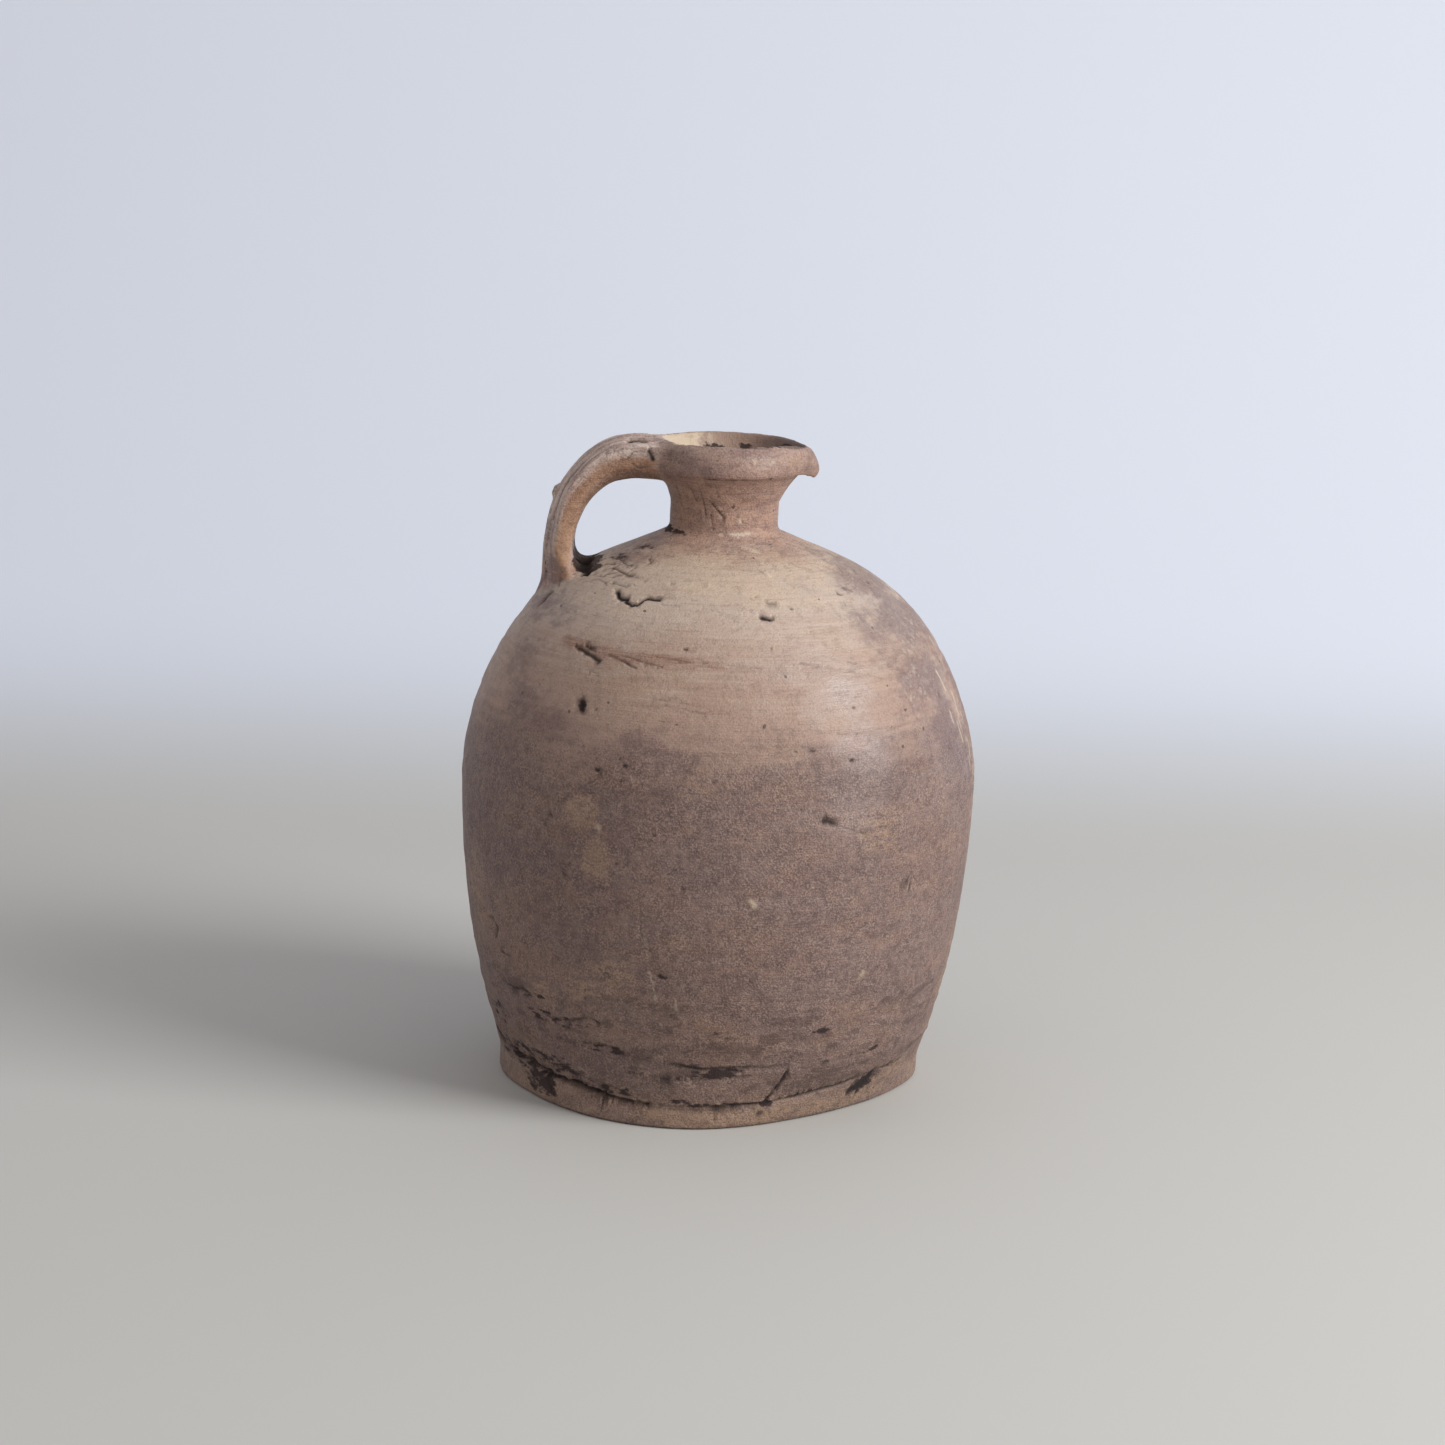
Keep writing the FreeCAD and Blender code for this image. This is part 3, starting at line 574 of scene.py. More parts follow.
def settle(points):
    """Points of the true form moved to where they are after drying and firing."""
    moved = points.copy()
    radius = np.hypot(points[:, 0], points[:, 1])
    bearing = np.degrees(np.arctan2(points[:, 1], points[:, 0]))
    height = points[:, 2]
    degrees = np.arange(-180, 180)
    low = np.interp(bearing, degrees, sag_under, period=360)
    band = np.interp(bearing, degrees, sag_band, period=360)
    sag = low + (band - low) * np.clip(height / FOOT_TOP, 0, 1)
    sag = sag * (1 - eased(height, FOOT_TOP, SAG_TOP))
    moved[:, :2] *= (1 + sag / FOOT)[:, None]
    lean = eased(height, *LEAN_RISE) * (1 - eased(height, *LEAN_FALL))
    lean = lean * (1 - eased(radius, *LEAN_EDGE))
    moved[:, 0] += NECK_LEAN * lean
    return moved


CELLS = 48
LATTICE_SHIFT = 17.3


def lumps(points, size, seed):
    """Soft noise from -1 to 1 with lumps of about the given size in mm."""
    lattice = np.random.default_rng(seed).uniform(-1, 1, (CELLS, CELLS, CELLS))
    place = points / size + LATTICE_SHIFT
    cell = np.floor(place).astype(int)
    share = place - cell
    share = share * share * (3 - 2 * share)
    total = np.zeros(len(points))
    for corner in np.ndindex(2, 2, 2):
        weight = np.prod(np.where(corner, share, 1 - share), axis=1)
        i, j, k = ((cell + corner) % CELLS).T
        total += weight * lattice[i, j, k]
    return total


print("sag under the foot:", sag_under.min().round(1), "to", sag_under.max().round(1), "mm")

# %% [markdown]
# ## The marks of age, as one list
# Each mark is a line of points on the pot, given as bearing in degrees from the beak and height in
# millimetres, or as a place in space on strap and collar. A mark has a half width, a depth and a
# darkness. The same list cuts the surface and paints its colour, so the two can't drift apart.

# %% Marks


def on_pot(*places):
    """Points on the outside of the pot, settled, for bearings and heights."""
    bearing, height = np.array(places, float).T
    radius = pot_radius(height)
    turn = np.radians(bearing)
    return settle(np.stack([radius * np.cos(turn), radius * np.sin(turn), height], 1))


def in_space(*places):
    """Points on strap, collar and rim, given where they stand, in mm."""
    return np.array(places, float)


#         points                                                    half width, depth, darkness
MARKS = [
    # crack above the foot, deep at the left and fine towards the right
    (on_pot((-167, 15.5), (-160, 15), (-153, 14.4)), 0.8, 1.3, 1.0),
    (on_pot((-155, 14.4), (-148, 14), (-136, 12)), 1.4, 3.0, 1.0),
    (on_pot((-136, 12), (-126, 11), (-118, 10)), 1.3, 2.6, 1.0),
    (on_pot((-118, 10), (-108, 9), (-97, 9), (-85, 10), (-76, 10)), 0.9, 1.4, 0.95),
    (on_pot((-76, 10), (-60, 12), (-50, 13), (-37, 16), (-25, 15)), 0.8, 1.0, 0.85),
    (on_pot((-70, 24), (-71, 19), (-73, 14), (-75, 10)), 0.9, 1.0, 1.0),
    (on_pot((-101, 27), (-92, 25), (-82, 26), (-70, 26)), 0.9, 0.7, 0.8),
    (on_pot((-134, 39), (-130, 38), (-126, 38), (-120, 42), (-117, 40)), 0.9, 0.6, 0.8),
    (on_pot((-44.5, 8.6), (-41, 10.6), (-38, 14)), 3.2, 0.9, 1.0),
    (on_pot((-33, 15.5), (-31, 16.5)), 1.0, 0.6, 0.8),
    (on_pot((-150, 8), (-144, 5)), 0.8, 0.6, 0.8), (on_pot((-139, 10.5), (-137, 6)), 0.7, 0.5, 0.7),
    (on_pot((-131, 30), (-125, 29), (-118, 31), (-113, 30)), 0.8, 0.6, 0.8),
    (on_pot((-110, 21), (-100, 20), (-93, 21)), 0.8, 0.5, 0.7),
    (on_pot((-60, 26), (-52, 27)), 0.7, 0.5, 0.7),
    (on_pot((-150, 46), (-144, 45), (-140, 46.5)), 0.8, 0.5, 0.7),
    (on_pot((-157, 33), (-152, 31)), 0.9, 0.6, 0.8),
    # the crooked crack on the shoulder and the gouges beside the root
    (on_pot((-131, 198), (-129, 196.5), (-127, 196), (-125, 196.2)), 1.3, 1.1, 1.0),
    (on_pot((-125, 195.6), (-122, 194.6), (-119.5, 194.8), (-118.5, 196.4), (-117, 197.2), (-113, 197)),
     1.1, 1.0, 1.0),
    (on_pot((-148, 204), (-141, 203.6), (-134, 203), (-123, 202)), 0.6, 0.7, 0.8),
    (on_pot((-156, 204), (-150, 205), (-148, 206)), 0.7, 0.7, 0.8),
    # two wide cuts make a recess in the corner behind the strap's root; their black is painted shade,
    # with some soot
    (on_pot((-178, 202), (-171, 201.6)), 3.2, 2.6, 1.0),
    (on_pot((-166, 201.4), (-158, 200.4)), 2.2, 1.8, 1.0),
    (on_pot((-150, 203), (-147, 204.6), (-145, 206)), 0.5, 0.5, 0.7),
    (on_pot((-146, 201.6), (-142, 203), (-140, 205)), 0.5, 0.5, 0.7),
    (on_pot((-141, 201.4), (-136, 203), (-135, 205.4)), 0.5, 0.5, 0.7),
    (on_pot((-149, 206), (-142, 205.4), (-136, 205.8)), 0.5, 0.5, 0.7),
    (on_pot((-153, 201), (-149, 200.6), (-145, 201.2)), 0.6, 0.5, 0.7),
    (on_pot((-137, 200), (-131, 199.6), (-126, 200.4)), 0.4, 0.4, 0.6),
    (on_pot((-134, 208), (-130, 207)), 0.7, 0.8, 0.9),
    (on_pot((-152, 198), (-146, 200), (-140, 199.5)), 0.6, 0.5, 0.6),
    # scratches round the shoulder
    (on_pot((-132.4, 178.8), (-127, 177.0), (-123, 175.4)), 1.0, 0.7, 0.9),
    (on_pot((-129, 179.6), (-125.4, 178.4)), 0.8, 0.6, 0.9),
    (on_pot((-120, 177.6), (-116, 176.2), (-112, 174.4)), 0.6, 0.4, 0.75),
    (on_pot((-118, 178.4), (-111, 176.8), (-104, 175.4)), 0.45, 0.3, 0.55),
    (on_pot((-126, 172), (-121, 170.6)), 0.4, 0.3, 0.5),
    (on_pot((-107, 178.8), (-99, 178), (-93, 177.8)), 0.4, 0.3, 0.5),
    (on_pot((-88, 177.2), (-80, 176.4)), 0.4, 0.25, 0.4),
    (on_pot((-60, 179), (-52, 176.4), (-46, 173.6)), 0.5, 0.35, 0.3),
    (on_pot((-58, 175.6), (-50, 172.6), (-44, 170)), 0.5, 0.35, 0.3),
    (on_pot((-62, 153), (-50, 152), (-40, 154)), 0.5, 0.3, 0.25),
    (on_pot((-69, 178), (-61, 176), (-52, 173)), 0.5, 0.3, 0.25),
    (on_pot((-111, 195.5), (-100, 195.2), (-90, 194.8), (-80, 194.6)), 0.4, 0.25, 0.4),
    (on_pot((-109, 165), (-99, 164), (-90, 162)), 0.5, 0.3, 0.35),
    (on_pot((-103, 163), (-94, 161), (-88, 161)), 0.4, 0.3, 0.3),
    (on_pot((-66, 122), (-60, 118), (-53, 114)), 0.4, 0.3, 0.35),
    (on_pot((-45, 94), (-41, 95.5), (-38, 97.5)), 0.7, 0.4, 0.8),
    (on_pot((-42, 95), (-42.5, 91)), 0.6, 0.4, 0.8),
    (on_pot((-153, 70), (-150, 71), (-148, 68), (-149, 64)), 0.8, 0.5, 0.9),
    # open pits
    (on_pot((-77, 193), (-75, 192.4)), 1.5, 1.1, 1.0),
    (on_pot((-74, 197.4), (-72, 197)), 1.2, 0.5, 0.5),
    (on_pot((-67, 196), (-66.5, 195.5)), 0.8, 0.6, 0.8),
    (on_pot((-100, 182), (-99.5, 182)), 0.7, 0.5, 0.8),
    (on_pot((-94, 186), (-93.6, 186)), 0.5, 0.4, 0.7),
    (on_pot((-77, 183), (-76.5, 183)), 0.7, 0.5, 0.8),
    (on_pot((-37, 200), (-35, 199)), 0.9, 0.6, 0.9),
    (on_pot((-43, 199), (-42, 198.4)), 0.7, 0.5, 0.8),
    (on_pot((-63, 188), (-62.6, 188)), 0.5, 0.4, 0.7),
    (on_pot((-78, 199), (-77.5, 199)), 0.5, 0.4, 0.7),
    (on_pot((-111, 202), (-110, 202)), 0.6, 0.4, 0.7),
    (on_pot((-124.5, 161.0), (-123.4, 158.2)), 2.1, 0.9, 0.95),
    (on_pot((-120.5, 158.4), (-119.5, 159.2)), 0.4, 0.4, 0.7),
    (on_pot((-117, 138), (-116.2, 138)), 1.0, 0.6, 0.95),
    (on_pot((-118.4, 138.4), (-115, 137.8)), 0.5, 0.4, 0.8),
    (on_pot((-110.6, 140.8), (-110.2, 140.8)), 0.8, 0.5, 0.8),
    (on_pot((-104, 143), (-103.7, 143)), 0.5, 0.4, 0.7),
    (on_pot((-107, 159), (-106.6, 159)), 0.5, 0.4, 0.7),
    (on_pot((-103.4, 157.4), (-103, 157.4)), 0.5, 0.4, 0.7),
    (on_pot((-100, 156.6), (-99.7, 156.6)), 0.45, 0.4, 0.6),
    (on_pot((-139, 163.6), (-138.6, 163)), 0.5, 0.4, 0.7),
    (on_pot((-129.6, 116), (-128.6, 113.6)), 0.6, 0.4, 0.8),
    (on_pot((-128, 120), (-127.4, 118.6)), 0.5, 0.4, 0.8),
    (on_pot((-59.6, 143.6), (-59.2, 143.6)), 0.9, 0.5, 0.9),
    (on_pot((-57, 162), (-56.6, 162)), 0.5, 0.4, 0.7),
    (on_pot((-56, 171.6), (-55.6, 171.6)), 0.6, 0.4, 0.7),
    (on_pot((-24, 160), (-23.6, 161)), 0.6, 0.4, 0.7),
    (on_pot((-12, 170), (-11.6, 170)), 0.6, 0.4, 0.8),
    (on_pot((-35, 144), (-34.6, 144)), 0.5, 0.4, 0.7),
    (on_pot((-46, 196.4), (-44, 195.4)), 0.6, 0.4, 0.6),
    (on_pot((-96.6, 97), (-96.2, 97)), 0.7, 0.5, 0.8),
    (on_pot((-112, 143), (-111.7, 143)), 0.5, 0.4, 0.6),
    (on_pot((-66.6, 122.8), (-64.6, 121.4)), 1.5, 1.1, 0.9),
    (on_pot((-106, 82), (-105.2, 76), (-104.8, 70)), 0.35, 0.3, 0.6),
    (on_pot((-69, 148), (-68.7, 148)), 0.6, 0.4, 0.7),
    (on_pot((-73, 148), (-72.7, 148)), 0.5, 0.4, 0.6),
    (on_pot((-72, 127), (-71.7, 127)), 0.6, 0.4, 0.6),
    (on_pot((-87, 133), (-86.7, 133)), 0.5, 0.4, 0.6),
    (on_pot((-91, 137), (-90.7, 137)), 0.5, 0.4, 0.6),
    (on_pot((-82, 62), (-81.7, 62)), 0.7, 0.5, 0.7),
    (on_pot((-106, 95), (-105.7, 95)), 0.6, 0.4, 0.6),
    (on_pot((-76, 6), (-75.5, 6)), 0.8, 0.6, 0.8),
    (on_pot((-88, 16), (-87.5, 16)), 0.7, 0.5, 0.7),
    # scratches down the neck
    (on_pot((-106, 229.2), (-96, 225.4), (-84, 221.4)), 0.5, 0.4, 1.0),
    (on_pot((-128, 236.6), (-125, 234), (-121, 229)), 0.5, 0.3, 0.8),
    (on_pot((-116, 236.6), (-113, 229.7), (-110, 224)), 0.4, 0.3, 0.7),
    (on_pot((-100, 236), (-97, 231)), 0.35, 0.25, 0.6),
    (on_pot((-104, 224), (-101, 218.5)), 0.4, 0.25, 0.6),
    (on_pot((-143, 233), (-143, 230.5)), 0.9, 0.4, 0.8),
    # strap: the oval gouge on top, streaks in the finger grooves, the broken edge and the pits
    (in_space((-37.3, -8.6, 250.4), (-32.7, -9.0, 250.6)), 1.8, 1.2, 1.0),
    (in_space((-29.8, 1, 251.6), (-28.6, 1, 251.6)), 0.9, 0.6, 0.8),
    (in_space((-50.5, -5, 247.6), (-47.5, -5, 248.9)), 0.8, 0.5, 0.6),
    (in_space((-29.8, -13.8, 247.0), (-28.2, -14.4, 244.0)), 1.0, 1.2, 0.9),
    (in_space((-38, -12.6, 243.6), (-35.6, -12.8, 246.4), (-31, -12.9, 247.0), (-29.4, -13.4, 246.0)),
     0.45, 0.3, 0.6),
    (in_space((-36, -13, 242), (-33.6, -13.2, 240.6), (-29.5, -13.6, 241.4)), 0.45, 0.3, 0.5),
    (in_space((-46, -12, 245), (-41, -12.6, 247), (-36, -12.8, 248)), 0.5, 0.4, 0.5),
    (in_space((-57.5, -4.6, 242.0), (-62.5, -4.6, 235.0), (-65.0, -4.4, 228.5)), 0.7, 0.6, 0.75),
    (in_space((-66.6, -4.4, 223.5), (-68.2, -4.4, 216)), 0.6, 0.5, 0.6),
    (in_space((-61.0, -9.4, 234.0), (-64.4, -9.4, 226.4), (-66.4, -9.4, 219)), 0.8, 0.7, 0.9),
    (in_space((-69.0, -6, 209), (-69.6, -6, 203)), 0.6, 0.4, 0.5),
    (in_space((-68.0, -18.4, 193.6), (-68.8, -19.0, 189.4)), 1.6, 1.1, 1.0),
    (in_space((-65.5, -19.0, 197.6), (-65.1, -19.2, 197.0)), 0.8, 0.6, 0.8),
    (in_space((-65.8, -15.5, 207.5), (-62.8, -17.0, 203.5), (-60.2, -17.8, 199.2)), 0.5, 0.3, 0.3),
    # chips out of the rim
    (in_space((-19.0, -16.5, 250.9), (-15.5, -20.0, 250.9)), 1.2, 0.9, 0.8),
    (in_space((4.5, -25.0, 250.9), (9.5, -23.6, 250.9)), 1.0, 0.8, 0.8),
    (in_space((-9.0, -23.6, 250.9), (-5.0, -24.8, 250.9)), 0.7, 0.5, 0.6),
    # a groove under the collar's overhang towards the beak, painted dark as its shade
    (in_space((-9.0, -26.8, 238.5), (4.0, -28.2, 238.5), (12.0, -25.9, 238.7), (20.0, -20.6, 239.4)),
     0.6, 0.5, 1.0),
]
# thrown-up edges and lumps stand out, so their depth is less than nothing
RAISED = [
    (in_space((-66.2, 0.5, 230.4), (-66.8, 0.8, 228.6)), 1.5, -1.3, 0.4),
    (on_pot((-82, 93.0), (-81, 91.4)), 1.6, -0.5, 0.0),
    (on_pot((-70, 206), (-69.5, 205.4)), 1.0, -0.5, 0.0),
    (on_pot((-96, 202.5), (-95.6, 202)), 0.8, -0.5, 0.0),
]
# pale scratches and chips, and glints as painted highlights, only lie in the colour: points, half width
# and strength
PALE_MARKS_AND_PAINTED_GLINTS = [
    (on_pot((-105.6, 80), (-104.6, 73), (-104, 65), (-103, 58)), 0.32, 0.5),
    (on_pot((-103, 58), (-102.2, 52)), 0.4, 0.6),
    (on_pot((-98, 54), (-97.4, 48)), 0.35, 0.4),
    (on_pot((-82.2, 93.0), (-81.4, 91.4)), 1.5, 0.8),
    (on_pot((-54, 62.4), (-53.8, 61.4)), 0.7, 0.7), (on_pot((-115.4, 117.8), (-115.2, 117)), 0.9, 0.6),
    (on_pot((-108.6, 137), (-108.4, 135.6)), 0.4, 0.8),
    (on_pot((-34, 80.4), (-34, 79.6)), 0.6, 0.9),
    # painted highlights: glints along the right edge, at bearings -5 to -15
    (on_pot((-15, 150), (-15, 145)), 0.5, 0.7), (on_pot((-13, 134), (-13, 130)), 0.5, 0.7),
    (on_pot((-5, 192), (-5, 190)), 0.7, 0.8), (on_pot((-9, 178), (-9, 176)), 0.7, 0.8),
    # pale chips on the raised lumps
    (on_pot((-70, 206.4), (-69.4, 205.2)), 1.0, 0.7), (on_pot((-96, 202.6), (-95.6, 202)), 0.8, 0.7),
    # painted highlights: glints round the foot of the neck, and in the last rows along the right edge
    (on_pot((-94, 216.8), (-92.4, 216.6)), 0.8, 0.8), (on_pot((-82, 217), (-70, 216.9)), 0.9, 0.9),
    (on_pot((-66, 217.4), (-62, 217.2)), 0.8, 0.8), (on_pot((-68.6, 212.4), (-67, 211.8)), 1.5, 0.9),
    (on_pot((-72.6, 222), (-71.4, 221.6)), 1.0, 1.0), (on_pot((-19, 168), (-18, 161)), 0.8, 0.9),
    (on_pot((-14, 158), (-14, 150)), 0.8, 0.9), (on_pot((-17, 148), (-16.6, 141)), 0.8, 0.8),
    (on_pot((-11, 140), (-11, 133)), 0.8, 0.8), (on_pot((-20, 153), (-20, 149)), 0.7, 0.8),
]
# rings that tools left over the foot and on the shoulder: height, half width and depth
TRIMMED = ((20.5, 1.1, 0.35), (24.5, 1.4, 0.40), (30.5, 1.2, 0.35), (36.5, 1.6, 0.30), (44.0, 1.5, 0.25),
           (152.0, 1.8, 0.30), (171.5, 1.2, 0.25), (181.5, 0.9, 0.20), (189.0, 1.0, 0.15))
# red-brown scratched ring where the shoulder's pale wash ends
RED_RING = on_pot((-138, 180), (-134, 179.6), (-125, 178.6), (-115, 177.9), (-106, 177.6), (-95, 177.2),
                  (-88, 176.6), (-75, 175.6), (-61, 174.8), (-49, 172))
RING_WIDTH = 2.6
STEP = 0.6
FAR, THROUGH_LIMIT, CHUNK = 99.0, 5, 64


def dense(points):
    """Points along a line at even short steps."""
    spans = []
    for a, b in zip(points, points[1:]):
        count = max(2, int(np.linalg.norm(b - a) / STEP) + 1)
        spans.append(a + (b - a) * np.linspace(0, 1, count)[:, None])
    return np.vstack(spans)


def distance_to(mark_points, corners, normals, reach):
    """Numbers of the corners near a mark, and their distance from it along the surface."""
    line = dense(mark_points)
    near = np.flatnonzero(((corners > line.min(0) - reach) & (corners < line.max(0) + reach)).all(1))
    best = np.full(len(near), FAR)
    for begin in range(0, len(line), CHUNK):
        gap = corners[near, None] - line[None, begin:begin + CHUNK]
        through = np.einsum("ijk,ik->ij", gap, normals[near])
        flat = np.sqrt(np.maximum((gap ** 2).sum(2) - through ** 2, 0))
        best = np.minimum(best, np.where(np.abs(through) < THROUGH_LIMIT, flat, FAR).min(1))
    return near, best


print("marks:", len(MARKS), "cut,", len(RAISED), "raised,", len(TRIMMED), "rings")

# %% [markdown]
# ## Finer faces at the marks
# A crack half a millimetre wide needs faces smaller than that. So the edges near each mark are
# split, twice, and the rest of the pot stays as it is.

# %% Split edges near the marks


def arrays_of(mesh):
    """Corners in mm and outward normals."""
    corners = np.zeros(len(mesh.vertices) * 3, np.float32)
    mesh.vertices.foreach_get("co", corners)
    normals = np.zeros(len(mesh.vertices) * 3, np.float32)
    mesh.vertices.foreach_get("normal", normals)
    return corners.reshape(-1, 3).astype(float) / MM, normals.reshape(-1, 3).astype(float)


FINE = 0.75
MARK_REACH = 3
FINE_WIDTHS, FINE_EDGE = 1.3, 0.9
ROUNDS = 2


def split_near_marks(mesh):
    """Splits the edges near a mark that are longer than the fine length."""
    corners, normals = arrays_of(mesh)
    settled = settle(corners)
    wanted = np.zeros(len(corners), bool)
    for points, width, *_ in MARKS + RAISED + PALE_MARKS_AND_PAINTED_GLINTS:
        near, gap = distance_to(points, settled, normals, width + MARK_REACH)
        wanted[near[gap < FINE_WIDTHS * width + FINE_EDGE]] = True
    ends = np.zeros(len(mesh.edges) * 2, np.int32)
    mesh.edges.foreach_get("vertices", ends)
    ends = ends.reshape(-1, 2)
    length = np.linalg.norm(corners[ends[:, 0]] - corners[ends[:, 1]], axis=1)
    chosen = np.flatnonzero(wanted[ends].all(1) & (length > FINE))
    work = bmesh.new()
    work.from_mesh(mesh)
    work.edges.ensure_lookup_table()
    bmesh.ops.subdivide_edges(work, edges=[work.edges[i] for i in chosen], cuts=1, use_grid_fill=True)
    bmesh.ops.triangulate(work, faces=work.faces[:])
    work.to_mesh(mesh)
    work.free()
    return len(chosen)


for _ in range(ROUNDS):
    print("split", split_near_marks(jug.data), "edges, faces:", len(jug.data.polygons))

# %% [markdown]
# ## Pressing the marks into the clay
# Lumps of four sizes make the wall uneven, as a hand-thrown wall is, and over the foot it is
# scraped in lines. Marks go in along the normal and raised spots go out. What each mark leaves is
# kept as an attribute, which the material reads.

# %% Lumps, rings and marks
# the plain wall stands outside this radius and under this height
WALL_RADIUS, WALL_HEIGHT = 40, 210
SCRAPED_FROM, SCRAPED_TO, SCRAPED_DEPTH = (11, 17), (38, 75), 0.34
# reach of a cut and of its stain in half widths, and how torn their edges are
CUT_WIDTHS, STAIN_WIDTHS, STAIN_START = 1.25, 0.85, 1.35
RAGGED, RAGGED_EDGE = 0.30, 0.12
mesh = jug.data
corners, normals = arrays_of(mesh)
true_corners = corners
inside = inside_share(corners)
corners = settle(corners)
outside = 1 - inside
high_enough = eased(corners[:, 2], 1.0, 6.0)
radius = np.hypot(corners[:, 0], corners[:, 1])
on_wall = outside * (radius > WALL_RADIUS) * (corners[:, 2] < WALL_HEIGHT)
LUMPS = ((34.0, 0.45), (12.0, 0.16), (4.2, 0.09), (2.1, 0.05))
move = sum(depth * lumps(corners, size, 20 + order) for order, (size, depth) in enumerate(LUMPS))
move *= high_enough
wander = 1.2 * lumps(corners * (0.5, 0.5, 0.2), 14.0, 31)
scraped = eased(corners[:, 2], *SCRAPED_FROM) * (1 - eased(corners[:, 2], *SCRAPED_TO)) * on_wall
torn = lumps(corners * (0.22, 0.22, 1.0), 2.6, 33) + 0.6 * lumps(corners * (0.4, 0.4, 1.0), 1.5, 34)
move += scraped * SCRAPED_DEPTH * torn
for height, wide, depth in TRIMMED:
    ring = np.exp(-((corners[:, 2] + wander - height) / wide) ** 2)
    move -= on_wall * depth * ring * (0.6 + 0.6 * lumps(corners, 22.0, 32))
rough = lumps(corners, 1.6, 41)
dark = np.zeros(len(corners))
cut = np.zeros(len(corners))
for points, width, depth, darkness in MARKS + RAISED:
    near, gap = distance_to(points, corners, normals, width + MARK_REACH)
    ragged = gap * (1 + RAGGED * rough[near]) + RAGGED_EDGE * width * rough[near]
    broken = np.clip(0.75 + 0.9 * torn[near], 0.25, 1.0) if width < 1.0 else 1.0
    bowl = np.clip(1 - (ragged / (CUT_WIDTHS * width)) ** 2, 0, 1) * broken
    cut[near] = np.where(np.abs(depth * bowl) > np.abs(cut[near]), depth * bowl, cut[near])
    stain = darkness * np.clip(STAIN_START - ragged / (STAIN_WIDTHS * width), 0, 1) * broken
    dark[near] = np.maximum(dark[near], stain)
pale_marks_and_painted_glints = np.zeros(len(corners))
for points, width, strength in PALE_MARKS_AND_PAINTED_GLINTS:
    near, gap = distance_to(points, corners, normals, width + MARK_REACH)
    ragged = gap * (1 + RAGGED * rough[near])
    wash = strength * np.clip(STAIN_START - ragged / (STAIN_WIDTHS * width), 0, 1)
    pale_marks_and_painted_glints[near] = np.maximum(pale_marks_and_painted_glints[near], wash)
corners = corners + normals * ((move - cut) * np.where(inside > 0.5, 0.5, 1))[:, None]
corners[:, 2] = np.maximum(corners[:, 2], 0)
mesh.vertices.foreach_set("co", (corners * MM).astype(np.float32).ravel())
mesh.update()
print("deepest mark:", round(float(cut.max()), 1), "mm, largest lump:",
      round(float(np.abs(move).max()), 1), "mm")
